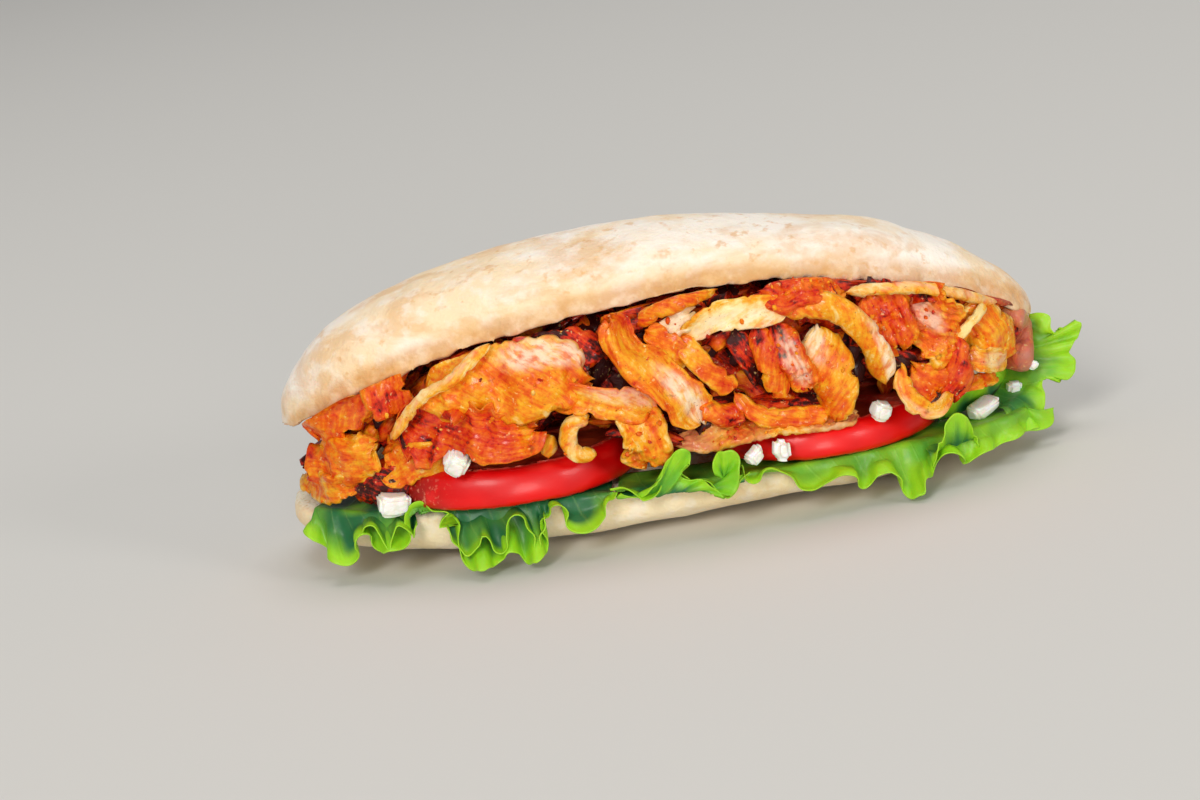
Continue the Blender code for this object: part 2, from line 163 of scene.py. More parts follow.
def onCurve(a, b, c, d, t):
    # the point at t from b to c, on the smooth curve through all four
    return 0.5 * (2 * b + (c - a) * t + (2 * a - 5 * b + 4 * c - d) * t**2 + (3 * b - a - 3 * c + d) * t**3)


def walkedAlong(line):
    # the distance to each point along a line
    return np.concatenate([[0], np.cumsum(np.linalg.norm(np.diff(line, axis=0), axis=1))])


def pointsAt(wanted, stations, line):
    return np.stack([np.interp(wanted, stations, line[:, k]) for k in range(3)], 1)


def throughKnots(knots, count):
    # a smooth curve through the knots, as evenly spaced points
    knots = np.asarray(knots, float)
    ends = np.vstack([2 * knots[0] - knots[1], knots, 2 * knots[-1] - knots[-2]])
    dense = []
    for k in range(1, len(ends) - 2):
        dense += [onCurve(*ends[k - 1 : k + 3], t) for t in np.linspace(0, 1, 24, endpoint=False)]
    dense = np.array(dense + [knots[-1]])
    walked = walkedAlong(dense)
    return pointsAt(np.linspace(0, walked[-1], count), walked, dense)


def onAxis(distance):
    # distances as points on one line, for lumps that follow a length
    return np.stack([distance, distance * 0, distance * 0], 1)


def unit(vectors):
    return vectors / np.maximum(np.linalg.norm(vectors, axis=-1, keepdims=True), 1e-9)


def newObject(name, data):
    made = bpy.data.objects.new(name, data)
    bpy.context.collection.objects.link(made)
    return made


def makeMesh(name, points, faces, layers):
    # points in the loaf's own millimetres
    mesh = bpy.data.meshes.new(name)
    mesh.from_pydata(((np.asarray(points) + loafPlace) * mm).tolist(), [], faces)
    for layer, values in layers.items():
        addLayer(mesh, layer, values)
    mesh.shade_smooth()
    return mesh


def addPiece(name, mesh, finish, replaced=()):
    piece = newObject(name, mesh)
    mesh.materials.clear()
    mesh.materials.append(finish)
    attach(piece, "root")
    if replaced:
        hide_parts(*replaced)
    return piece


def readPoints(mesh):
    points = np.empty(len(mesh.vertices) * 3, np.float32)
    mesh.vertices.foreach_get("co", points)
    return points.reshape(-1, 3) / mm - loafPlace


def readNormals(mesh):
    normals = np.empty(len(mesh.vertices) * 3, np.float32)
    mesh.vertex_normals.foreach_get("vector", normals)
    return normals.reshape(-1, 3)


def writePoints(mesh, points):
    mesh.vertices.foreach_set("co", ((points + loafPlace) * mm).astype(np.float32).ravel())
    mesh.update()


def addLayer(mesh, layer, values):
    # one value or one vector for each point, which the finish reads by its name
    values = np.asarray(values, np.float32)
    kind, field = ("FLOAT_VECTOR", "vector") if values.ndim == 2 else ("FLOAT", "value")
    mesh.attributes.new(layer, kind, "POINT").data.foreach_set(field, values.ravel())


def readLayer(mesh, layer):
    values = np.empty(len(mesh.vertices), np.float32)
    mesh.attributes[layer].data.foreach_get("value", values)
    return values


def reshape(mesh, change):
    shape = bmesh.new()
    shape.from_mesh(mesh)
    change(shape)
    shape.to_mesh(mesh)
    shape.free()


def weldPoints(shape):
    bmesh.ops.remove_doubles(shape, verts=shape.verts, dist=0.01 * mm)


def turnOutward(shape):
    bmesh.ops.recalc_face_normals(shape, faces=shape.faces)


def takenApart(shape):
    # a shape's points and faces, after which it is freed
    points = np.array([v.co for v in shape.verts])
    faces = [[v.index for v in f.verts] for f in shape.faces]
    shape.free()
    return points, faces


def appliedMesh(piece, name):
    # the mesh that the piece's modifiers make, with the piece itself removed
    graph = bpy.context.evaluated_depsgraph_get()
    mesh = bpy.data.meshes.new_from_object(piece.evaluated_get(graph))
    mesh.name = name
    bpy.data.objects.remove(piece)
    return mesh


def softCopy(node, name, voxel, rounds):
    # an even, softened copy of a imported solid
    mesh = frame["nodes"][node].data.copy()
    reshape(mesh, weldPoints)
    piece = newObject(name, mesh)
    even = piece.modifiers.new("even faces", "REMESH")
    even.mode = "VOXEL"
    even.voxel_size = voxel * mm
    even.use_smooth_shade = True
    soften = piece.modifiers.new("soften", "SMOOTH")
    soften.factor = 0.5
    soften.iterations = rounds
    made = appliedMesh(piece, name)
    made.materials.clear()
    return made


def addNode(tree, kind, inputs=None, **settings):
    # inputs go by name or number, each with a value or with the socket that feeds it
    node = tree.nodes.new(kind)
    for key, value in settings.items():
        setattr(node, key, value)
    for key, value in (inputs or {}).items():
        if isinstance(value, bpy.types.NodeSocket):
            tree.links.new(value, node.inputs[key])
        else:
            node.inputs[key].default_value = value
    return node


def newGroup(name, output, values):
    # an empty shader group that takes a vector and the named values, and puts out one number
    tree = bpy.data.node_groups.new(name, "ShaderNodeTree")
    tree.interface.new_socket("Vector", in_out="INPUT", socket_type="NodeSocketVector")
    for socketName, value in values.items():
        socket = tree.interface.new_socket(socketName, in_out="INPUT", socket_type="NodeSocketFloat")
        socket.default_value = value
    tree.interface.new_socket(output, in_out="OUTPUT", socket_type="NodeSocketFloat")
    given = tree.nodes.new("NodeGroupInput").outputs
    made = tree.nodes.new("NodeGroupOutput").inputs[output]
    return tree, given, made


def sizedNoise(tree, vector, size, **inputs):
    # a noise whose lumps have a size in millimetres
    scale = addNode(tree, "ShaderNodeMath", {0: 1 / mm, 1: size}, operation="DIVIDE").outputs[0]
    return addNode(tree, "ShaderNodeTexNoise", {"Vector": vector, "Scale": scale, **inputs}).outputs["Fac"]


def makePatches():
    # patches of one thing over another, as a mask from 0 to 1
    values = {"Size": 5.0, "Detail": 3.0, "Distortion": 0.0, "From": 0.4, "To": 0.6}
    tree, given, mask = newGroup("patches", "Mask", values)
    shape = {"Detail": given["Detail"], "Roughness": 0.55, "Distortion": given["Distortion"]}
    noise = sizedNoise(tree, given["Vector"], given["Size"], **shape)
    inputs = {"Value": noise, "From Min": given["From"], "From Max": given["To"]}
    spread = addNode(tree, "ShaderNodeMapRange", inputs, interpolation_type="SMOOTHSTEP")
    tree.links.new(spread.outputs["Result"], mask)
    return tree


def makeRelief():
    # a rough surface of two grains, as a height from 0 to about 1
    tree, given, height = newGroup("relief", "Height", {"Coarse": 2.0, "Fine": 0.8, "Fine Share": 0.5})
    coarse = sizedNoise(tree, given["Vector"], given["Coarse"], Detail=3.0)
    fine = sizedNoise(tree, given["Vector"], given["Fine"], Detail=3.0)
    inputs = {0: fine, 1: given["Fine Share"], 2: coarse}
    both = addNode(tree, "ShaderNodeMath", inputs, operation="MULTIPLY_ADD")
    tree.links.new(both.outputs[0], height)
    return tree


patchesGroup = makePatches()
reliefGroup = makeRelief()


class Shader:
    # a node material under construction
    def __init__(self, name):
        self.material = bpy.data.materials.new(name)
        self.material.use_nodes = True
        self.tree = self.material.node_tree
        self.surface = self.tree.nodes["Principled BSDF"]
        self.place = self.add("ShaderNodeTexCoord").outputs["Object"]

    def add(self, kind, inputs=None, **settings):
        return addNode(self.tree, kind, inputs, **settings)

    def feed(self, socketName, value):
        self.tree.links.new(value, self.surface.inputs[socketName])

    def layer(self, name, output="Fac"):
        return self.add("ShaderNodeAttribute", attribute_name=name).outputs[output]

    def stretched(self, scale, vector=None):
        # coordinates that draw a pattern out where their scale is below 1
        inputs = {"Vector": vector or self.place, "Scale": scale}
        return self.add("ShaderNodeMapping", inputs).outputs["Vector"]

    def patches(self, size, start, end, detail=3.0, vector=None, distortion=0.0):
        # a mask of patches, with their size in millimetres and the noise values where it is 0 and 1
        inputs = {
            "Vector": vector or self.place,
            "Size": size,
            "Detail": detail,
            "Distortion": distortion,
            "From": start,
            "To": end,
        }
        return self.add("ShaderNodeGroup", inputs, node_tree=patchesGroup).outputs["Mask"]

    def ramp(self, value, *stops):
        # stops of (place, colour)
        node = self.add("ShaderNodeValToRGB", {"Fac": value})
        bar = node.color_ramp
        while len(bar.elements) < len(stops):
            bar.elements.new(0.5)
        for element, (place, colour) in zip(bar.elements, stops):
            element.position = place
            element.color = colour
        return node.outputs["Color"]

    def math(self, operation, *values):
        return self.add("ShaderNodeMath", dict(enumerate(values)), operation=operation).outputs["Value"]

    def mix(self, share, low, high):
        return self.add("ShaderNodeMix", {0: share, 6: low, 7: high}, data_type="RGBA").outputs[2]

    def over(self, base, colour, mask, share=1.0):
        # lays a colour over the base where the mask is, as strongly as the share
        return self.mix(self.math("MULTIPLY", mask, share), base, colour)

    def between(self, mask, low, high):
        # a value from low to high, following the mask
        return self.math("MULTIPLY_ADD", mask, high - low, low)

    def bump(self, coarse, fine, fineShare, distance, strength=0.6, vector=None, extra=None):
        # sizes and distance in millimetres
        inputs = {"Vector": vector or self.place, "Coarse": coarse, "Fine": fine, "Fine Share": fineShare}
        height = self.add("ShaderNodeGroup", inputs, node_tree=reliefGroup).outputs["Height"]
        if extra is not None:
            height = self.math("ADD", height, extra)
        inputs = {"Distance": distance * mm, "Strength": strength, "Height": height}
        self.feed("Normal", self.add("ShaderNodeBump", inputs).outputs["Normal"])

    def paint(self, colour):
        self.feed("Base Color", colour)

    def set(self, **values):
        names = {
            "roughness": "Roughness",
            "coat": "Coat Weight",
            "coatRoughness": "Coat Roughness",
            "scatter": "Subsurface Weight",
            "scatterScale": "Subsurface Scale",
            "specular": "Specular IOR Level",
            "sheen": "Sheen Weight",
        }
        for key, value in values.items():
            self.surface.inputs[names[key]].default_value = value


def srgb(red, green, blue):
    # a colour given as it is seen, 0 to 255, as the shader wants it
    seen = (red / 255, green / 255, blue / 255)
    return (*(c / 12.92 if c <= 0.04045 else ((c + 0.055) / 1.055) ** 2.4 for c in seen), 1.0)


breadLook = {
    "voxel": 1.35,
    "softening": 12,
    "swells": ((34.0, 1.1), (13.0, 0.4), (4.0, 0.1)),  # size and height of its unevenness
    "crumbCalm": 0.35,  # how much less uneven the crumb is
    "torn": (5.5, 0.75),  # size and height of the dents in the lid's lip
    "lineFade": (6.2, 3.4),  # heights above the lip where the golden line is gone, and full
    "glowFade": (8.5, 3.0),
    "tipReach": (116.0, 124.0),  # where the lid's blunt left tip begins, and is full
    "tipHeight": 50.0,
    "tipRise": 0.6,  # how much of the way up to it the lower edge goes
    "tipTuck": 1.2,  # how far that edge is pulled in
    "rimGlow": 0.35,  # how golden the base's rim is
    "flour": srgb(255, 243, 228),
    "crust": srgb(250, 222, 182),
    "tan": srgb(226, 168, 100),
    "warm": srgb(250, 228, 180),
    "lipLine": srgb(204, 132, 36),
    "lipGlow": srgb(238, 196, 118),
    "crumb": srgb(250, 240, 214),
    "pore": srgb(226, 200, 150),
}


def breadFinish(look):
    s = Shader("bread crust")
    long = s.stretched((0.7, 0.8, 1.5))
    base = s.mix(s.patches(34, 0.42, 0.58, 4, long), look["flour"], look["crust"])
    base = s.over(base, look["tan"], s.patches(15, 0.46, 0.64, 5, long, 0.5), 0.46)
    spots = s.math("MULTIPLY", s.patches(4.6, 0.56, 0.68, 3), s.patches(24, 0.4, 0.58, vector=long))
    base = s.over(base, look["tan"], spots, 0.6)
    base = s.over(base, look["warm"], s.layer("low"), 0.75)
    base = s.over(base, look["flour"], s.patches(6.5, 0.48, 0.66, 5), 0.5)
    glow = s.math("MULTIPLY", s.layer("lipGlow"), s.between(s.patches(11, 0.3, 0.62, 4), 0.35, 1.0))
    base = s.over(base, look["lipGlow"], glow, 0.4)
    line = s.math("MULTIPLY", s.layer("lipLine"), s.between(s.patches(6, 0.35, 0.6), 0.4, 1.0))
    base = s.over(base, look["lipLine"], line, 0.6)
    inside = s.mix(s.patches(1.6, 0.34, 0.5), look["pore"], look["crumb"])
    s.paint(s.mix(s.layer("crumb"), base, inside))
    s.bump(3.2, 1.1, 0.7, 0.75, 0.65)
    s.set(roughness=0.78, specular=0.3, sheen=0.15, scatter=0.08, scatterScale=2 * mm)
    return s.material


def crumbShare(points, normals):
    # 1 on the cut crumb, which is the mouth's floor, its roof and the hinge at its back, and 0 on the crust
    x, y, z = points.T
    behindLip = y - lipY(x)
    aboveFloor = z - crumbTop(x)
    inMouth = ((aboveFloor > -2.5) & (z < lidLip(x) + 4)).astype(float)
    bottom = ease(normals[:, 2], 0.2, 0.6) * (np.abs(aboveFloor) < 3) * ease(behindLip, 2, 6)
    roof = ease(-normals[:, 2], -0.1, 0.35) * ease(behindLip, 5, 11) * (aboveFloor > 8)
    hinge = inMouth * ease(-normals[:, 1], 0.2, 0.6) * (y > 5)
    return np.clip(bottom + roof + hinge, 0, 1)


def makeBread(look):
    mesh = softCopy("bread", "loaf", look["voxel"], look["softening"])
    points = readPoints(mesh)
    normals = readNormals(mesh)
    x, y, z = points.T
    behindLip = y - lipY(x)
    lip = lidLip(x)
    crumb = crumbShare(points, normals)
    outward = sum(height * roughLumps(points, size, int(size), 2) for size, height in look["swells"])
    outward *= 1 - look["crumbCalm"] * crumb
    tornSize, tornHeight = look["torn"]
    aboveLip = z - lip - 1
    torn = bell(aboveLip, 3.0) * ease(behindLip, 12, 6)
    outward += tornHeight * torn * roughLumps(points, tornSize, 57, 2)
    moved = points + normals * outward[:, None]
    moved[:, 2] -= lidDroop(x) * bell(aboveLip, 6.0) * ease(behindLip, 22, 6)
    atTip = ease(-x, *look["tipReach"]) * (z > 26)
    tipHeight = look["tipHeight"]
    moved[:, 2] += look["tipRise"] * atTip * np.maximum(tipHeight - moved[:, 2], 0)
    moved[:, 0] += look["tipTuck"] * atTip * ease(moved[:, 2], tipHeight + 6, tipHeight - 4)
    moved[:, 2] = np.maximum(moved[:, 2], 0)
    writePoints(mesh, moved)

    # the golden line and glow along the lip, which start a little unevenly
    atFront = ease(behindLip, 14, 8)
    lipStart = lip + 0.2 + 0.5 * lumps(moved, 9, 51)
    aboveMouth = z > lip - 3
    lineGone, lineFull = look["lineFade"]
    glowGone, glowFull = look["glowFade"]
    line = ease(z, lipStart + lineGone, lipStart + lineFull) * aboveMouth
    glow = ease(z, lipStart + glowGone, lipStart + glowFull) * aboveMouth
    rim = look["rimGlow"] * bell(z - crumbTop(x) + 2, 2.5)
    addLayer(mesh, "lipLine", line * atFront)
    addLayer(mesh, "lipGlow", (glow + rim) * atFront)
    addLayer(mesh, "crumb", crumb)
    addLayer(mesh, "low", ease(z, 30, 10))
    addPiece("loaf", mesh, breadFinish(look), ["bread"])
    print("bread:", len(mesh.polygons), "faces")


makeBread(breadLook)

tomatoSlices = {
    "tomato_left": {
        "centre": (-51.0, -16.0, 27.0), "radius": 42.5, "thick": 12.2,
        "tilt": 2.0, "wet": 1.0, "seed": 3,
    },
    "tomato_right": {
        "centre": (49.0, -14.0, 22.9), "radius": 40.5, "thick": 10.6,
        "tilt": 3.2, "wet": 0.0, "seed": 8,
    },
}
tomatoLook = {
    "around": 260,
    "faceRings": 26,
    "skinRings": 25,
    "rounding": 4.5,  # how far the rounded skin stands out
    "flare": 1.5,  # how much wider the lower face is than the upper one
    "chambers": 3,  # pairs of seed chambers
    "chamberDip": 0.9,
    "chamberStart": (0.22, 0.32),  # shares of the radius over which they begin and end
    "chamberEnd": (0.8, 0.88),
    "bumps": (9, 0.22),  # size and height
    "grain": (2.2, 0.25),  # the same, on the cut faces
    "shadeAndJuiceReach": (68.0, 86.0),  # where a slice's painted shadow and juice begin, and are full, left of the middle
    "skin": srgb(238, 8, 6),
    "deep": srgb(216, 2, 4),
    "streak": srgb(250, 84, 70),
    "flesh": srgb(226, 62, 44),
    "pale": srgb(240, 150, 120),
    "gel": srgb(206, 74, 34),
    # painted shadow, with juice, on the left slice's end
    "wet": srgb(140, 26, 16),
}


def tomatoFinish(look):
    s = Shader("tomato")
    skin = s.mix(s.patches(22, 0.35, 0.7, 2), look["skin"], look["deep"])
    skin = s.over(skin, look["streak"], s.patches(9, 0.55, 0.8, 2, s.stretched((0.5, 0.5, 1.6))), 0.22)
    flesh = s.over(look["flesh"], look["pale"], s.patches(1.6, 0.45, 0.7), 0.6)
    flesh = s.mix(s.layer("gel"), flesh, look["gel"])
    base = s.mix(s.layer("skin"), flesh, skin)
    # painted shadow and juice on the left slice's end: darker, with pale specks
    wet = s.layer("wet")
    base = s.over(base, look["wet"], s.math("MULTIPLY", wet, s.patches(7, 0.3, 0.5, 4)), 0.9)
    base = s.over(base, look["pale"], s.math("MULTIPLY", wet, s.patches(1.3, 0.58, 0.66, 2)), 0.6)
    s.paint(base)
    s.bump(5.0, 1.6, 0.3, 0.2, 0.35)
    s.set(roughness=0.38, coat=0.14, coatRoughness=0.16, specular=0.35)
    s.set(scatter=0.08, scatterScale=2 * mm)
    return s.material


def tomatoRings(size, look):
    # (distance from the middle, height, skin or not), from the middle of the top face round to the bottom's
    radius = size["radius"]
    half = size["thick"] / 2
    shares = np.linspace(0.02, 0.9, look["faceRings"])
    rings = [(share * radius, half, 0.0) for share in shares]
    for turn in np.linspace(90, -90, look["skinRings"]):
        a = math.radians(turn)
        out = math.copysign(abs(math.cos(a)) ** 0.75, math.cos(a))
        up = math.copysign(abs(math.sin(a)) ** 0.8, a)
        distance = radius - look["rounding"] + look["rounding"] * out - look["flare"] * up
        rings.append((distance, half * up, 1.0 if abs(turn) < 72 else 0.0))
    return rings + [(share * radius, -half, 0.0) for share in shares[::-1]]


def makeTomato(name, size, look, finish):
    seed = size["seed"]
    rings = tomatoRings(size, look)
    count = look["around"]
    turns = np.linspace(0, 2 * math.pi, count, endpoint=False)
    uneven = 1 + 0.01 * np.sin(3 * turns + seed) + 0.007 * np.sin(5 * turns + 2 * seed)
    aroundChambers = ease(np.abs(np.sin(look["chambers"] * turns + seed)), 0.35, 0.6)
    points = []
    gel = []
    for distance, height, _ in rings:
        share = distance / size["radius"]
        reach = ease(share, *look["chamberStart"]) * (1 - ease(share, *look["chamberEnd"]))
        chamber = aroundChambers * reach
        z = np.full(count, height) - math.copysign(look["chamberDip"], height) * chamber
        points.append(np.stack([distance * uneven * np.cos(turns), distance * uneven * np.sin(turns), z], 1))
        gel.append(chamber)
    points = np.concatenate(points)
    skin = np.repeat([isSkin for _, _, isSkin in rings], count)
    bumpSize, bumpHeight = look["bumps"]
    grainSize, grainHeight = look["grain"]
    bumps = bumpHeight * roughLumps(points, bumpSize, seed)
    points[:, 2] += bumps + (1 - skin) * grainHeight * lumps(points, grainSize, 5)
    points[:, :2] *= (1 - 0.004 * (1 + lumps(points, 12, seed)))[:, None]
    tilt = math.radians(size["tilt"])
    x = points[:, 0] * math.cos(tilt) + points[:, 2] * math.sin(tilt)
    z = points[:, 2] * math.cos(tilt) - points[:, 0] * math.sin(tilt)
    points = np.stack([x, points[:, 1], z], 1) + np.array(size["centre"])
    faces = []
    for k in range(len(rings) - 1):
        for i in range(count):
            j = (i + 1) % count
            faces.append((k * count + i, (k + 1) * count + i, (k + 1) * count + j, k * count + j))
    faces.append(tuple(range(count)))
    last = (len(rings) - 1) * count
    faces.append(tuple(last + i for i in reversed(range(count))))
    # painted shadow and juice, towards the left end of the left slice
    wet = size["wet"] * ease(-points[:, 0], *look["shadeAndJuiceReach"])
    mesh = makeMesh(name, points, faces, {"skin": skin, "gel": np.concatenate(gel), "wet": wet})
    addPiece(name + "_slice", mesh, finish, [name])


tomatoSkin = tomatoFinish(tomatoLook)
for name, size in tomatoSlices.items():
    makeTomato(name, size, tomatoLook, tomatoSkin)
print("tomato:", len(tomatoSlices), "slices")

meatLook = {
    "cream": srgb(252, 222, 146),
    "golden": srgb(244, 172, 26),
    "orange": srgb(234, 108, 0),
    "red": srgb(210, 38, 0),
    "dark": srgb(60, 8, 4),
    "pink": srgb(200, 128, 110),
    # for the pale spots: paler meat, and on the left slab a painted highlight
    "milk": srgb(255, 236, 204),
    "spice": srgb(112, 34, 8),
    "contrast": 1.25,  # between light and dark shavings
    "widen": 1.22,
    "thin": 0.56,
    "cell": 0.52,  # size of the faces
    "steps": (9, 150),  # the fewest and the most along a shaving
    "across": (5, 45),  # and across it
    "facing": (0.0, -1.0, 0.12),
    "turning": (13, 24),  # size and degrees of the uneven turns
    "bend": (12, 0.13),  # size, and height as a share of the width
    "crease": (7, 0.1),
    "cup": 0.14,
    "swelling": (5, 0.3),  # size, and height as a share of the thickness
    # size, scale along them and height, of the fibres and of their bundles
    "strands": (1.5, 0.15, 0.3),
    "bundles": (4.2, 0.3, 0.8),
    "cellHeights": (0.35, 1.5),  # of the crumbly cells: everywhere, and what a full crust adds
    # size, height and seed of each layer of what is uneven
    "cells": ((2.3, 1.0, 3), (1.2, 0.5, 4)),
    "bites": ((12, 0.26, 16), (5, 0.15, 10), (2.0, 0.12, 11)),  # out of the sides
    "rags": ((3.4, 1.0, 13), (1.6, 0.6, 17)),  # at the ends
    "tones": ((9, 0.12, 6), (3, 0.06, 7)),  # in the roast
}

# Each shaving: width, thickness, roast from 0 (cream) to 1 (dark red) at its two ends, turn about its own
# length at both ends, and its course as x, z and how far it stands proud of the heap
shavings = {
    "left fold": (11, 4, 0.55, 0.7, -20, 30, ((-87, 70, 2), (-86, 62, 4), (-84, 53, 3))),
    "left strip": (
        3.4, 3, 0.34, 0.36, 0, 20,
        ((-87, 46.5, 6), (-81, 54, 8), (-73.5, 61, 10), (-63.5, 65.5, 11), (-56, 70.5, 9), (-51, 73.5, 5)),
    ),
    "left slab": (
        20, 4.5, 0.42, 0.48, 15, -10,
        ((-75, 56, 3), (-60, 61, 7), (-45, 61, 9), (-32, 61, 7), (-22, 57, 3)),
    ),
    "red slab": (
        18, 4.5, 0.76, 0.52, -10, 5,
        ((-84, 50, 3), (-70, 48.5, 8), (-54.5, 45.5, 11), (-39.5, 45, 8)),
    ),
    "low left": (10, 4, 0.5, 0.45, 20, -10, ((-93, 34.5, 3), (-82, 38, 5), (-71, 40.5, 4))),
    "nub": (4.5, 4, 0.35, 0.3, 0, 10, ((-38, 42, 5), (-38.5, 39, 6), (-39, 35, 4))),
    "ribbon": (
        9.5, 3.5, 0.36, 0.28, -30, 25,
        ((-41, 57, 4), (-30.5, 53.5, 7), (-18.5, 50, 9), (-4, 44, 6)),
    ),
    "hanging grain": (13, 5, 0.35, 0.42, 20, -15, ((-11, 46, 6), (-8, 36, 8), (-8, 25, 4))),
    "yellow curl": (
        4.6, 4, 0.36, 0.3, 30, -20,
        ((-23.5, 45.5, 6), (-29, 44, 8), (-31.5, 39, 9), (-29.5, 34, 8), (-24, 33, 6)),
    ),
    "broad ribbon": (
        12, 4, 0.44, 0.24, -15, 20,
        ((-12.5, 75, 4), (-9, 66, 8), (-1.5, 57, 10), (5.5, 48, 10), (10.5, 37.5, 5)),
    ),
    "ribbon flap": (7, 3, 0.55, 0.4, 30, 10, ((-2, 70, 5), (5, 64, 7), (9.5, 57, 5))),
    "under the lip": (
        5.2, 3.5, 0.5, 0.45, 20, 0,
        ((-4, 72, 4), (5.5, 77, 7), (14, 78.5, 7), (22, 79, 4)),
    ),
    "pale sliver": (6, 3, 0.05, 0.1, 0, 0, ((0, 64, 3), (6, 69, 5), (13.5, 73, 5))),
    "cream arch": (8, 3.5, 0.15, 0.12, -15, 10, ((10, 65, 4), (19, 70, 8), (30, 70.5, 9), (44, 69, 8))),
    "golden arch": (
        7.5, 4, 0.5, 0.36, 15, -20,
        ((40, 70, 8), (55, 68, 10), (63.5, 60.5, 10), (68.5, 50, 9), (71, 38, 5)),
    ),
    "red lump": (9, 5, 0.68, 0.56, 0, 20, ((36, 75, 5), (42, 72.5, 8), (49, 74, 8), (61, 71, 5))),
    "deep red": (6.5, 4, 0.92, 0.85, 0, 30, ((25.5, 64, 4), (27.5, 55, 6), (31, 46, 4))),
    "orange strip": (6.5, 4, 0.74, 0.5, -25, 15, ((31.5, 64.5, 6), (34, 53.5, 10), (38.5, 41, 7))),
    "grain strip": (8, 4.5, 0.78, 0.46, 20, -15, ((38, 64, 6), (42.5, 53, 9), (46.5, 40, 6))),
    "slant": (5.8, 4, 0.42, 0.5, -10, 15, ((8.5, 65, 4), (14.5, 55, 7), (23.5, 45, 5))),
    "golden slab": (12, 4, 0.36, 0.44, 10, -15, ((52, 60, 5), (53.5, 46, 8), (52.5, 29, 6))),
    "low band": (5.5, 4, 0.58, 0.5, -10, 20, ((23.5, 43, 3), (28, 36.5, 6), (39.5, 33, 6), (52, 32, 4))),
    "flat slice": (
        7.5, 3, 0.46, 0.4, 35, 50,
        ((1, 31.5, 1), (17, 31, 2.5), (31, 31.5, 4.5), (47, 30.5, 4.5), (62, 28.5, 2)),
    ),
    "small orange": (6, 4, 0.55, 0.6, 0, 0, ((10.5, 41, 5), (16, 38.5, 6), (23, 37.5, 4))),
    "red grain": (15, 5, 0.68, 0.58, 10, -10, ((70, 66.5, 4), (74, 57, 7), (77, 48, 4))),
    "orange grain": (18, 5, 0.58, 0.46, -10, 15, ((83, 65, 4), (90, 55, 8), (97, 43, 5))),
    "top strip": (
        3.6, 3, 0.38, 0.3, 20, 0,
        ((63, 69.5, 5), (75, 69, 9), (86, 67, 10), (98, 61.5, 10), (112, 52.5, 6)),
    ),
    # a thin strip whose cream colour is a painted highlight
    "cream crease": (3, 3, 0.12, 0.15, 0, 0, ((96.5, 46, 8), (102, 51, 10), (107.5, 54.5, 7))),
    "tip scrap": (5, 4, 0.5, 0.9, 20, 0, ((105, 59.5, 2), (111, 56, 4), (117, 51, 2))),
    "right slab": (14, 4.5, 0.42, 0.45, -10, 20, ((100, 52, 5), (109, 45, 7), (115, 36, 4))),
    "lower curl": (
        4.8, 4, 0.42, 0.34, 20, -20,
        ((76, 42, 7), (75.5, 34.5, 10), (80, 28.5, 11), (86, 26.5, 11), (91.5, 29.5, 8)),
    ),
    "curl filling": (11, 4, 0.5, 0.6, 0, 10, ((81.5, 40, 5), (84.5, 35, 7), (87, 30, 6))),
    "red edge": (8, 4, 0.65, 0.75, -20, 10, ((94.5, 46, 7), (94, 36, 9), (92, 26.5, 6))),
    "right scrap": (8, 4, 0.44, 0.32, 20, 0, ((97.5, 38.5, 7), (105.5, 36, 8), (113, 33, 4))),
    "right hem": (5, 3.5, 0.5, 0.35, 10, 20, ((94, 31, 5), (101, 29.5, 6), (109, 28, 3))),
    "end chunk": (9.5, 17, 0.55, 0.6, 0, 10, ((117.5, 47, 2), (121, 37, 5), (118, 26.5, 3))),
    "gap red": (8, 4, 0.95, 0.9, 0, 0, ((72.5, 48, 1), (76, 44, 1), (80.5, 40, 1))),
    "left end high": (12, 4, 0.5, 0.6, 10, -20, ((-112, 45, 2), (-105, 54, 5), (-95, 62, 3))),
    "left end low": (13, 4, 0.6, 0.4, -10, 20, ((-117, 33, 1), (-106, 38, 5), (-93, 45, 4))),
    "left end tip": (9, 4, 0.35, 0.5, 20, -10, ((-121, 28, 0), (-112, 30, 4), (-101, 31, 3))),
    "back left": (12, 4, 0.75, 0.85, 10, -10, ((-70, 68, -3), (-58, 71, -2), (-44, 72, -3))),
    "back middle": (11, 4, 0.9, 0.8, 0, 20, ((-38, 69, -2), (-27, 68, -1), (-17, 63, -1))),
    "tip filling": (13, 4, 0.75, 0.6, 0, 10, ((99, 61, 1), (111, 57, 0), (122, 48, -1))),
    "back right": (10, 4, 0.8, 0.9, 10, -10, ((58, 73, -3), (68, 70, -2), (80, 66, -3))),
    # darker red, as painted shade under the left end of the heap
    "left end filling": (13, 4, 0.8, 0.88, 0, 10, ((-106, 31, -1), (-96, 31.5, 2), (-86, 33, 2))),
}

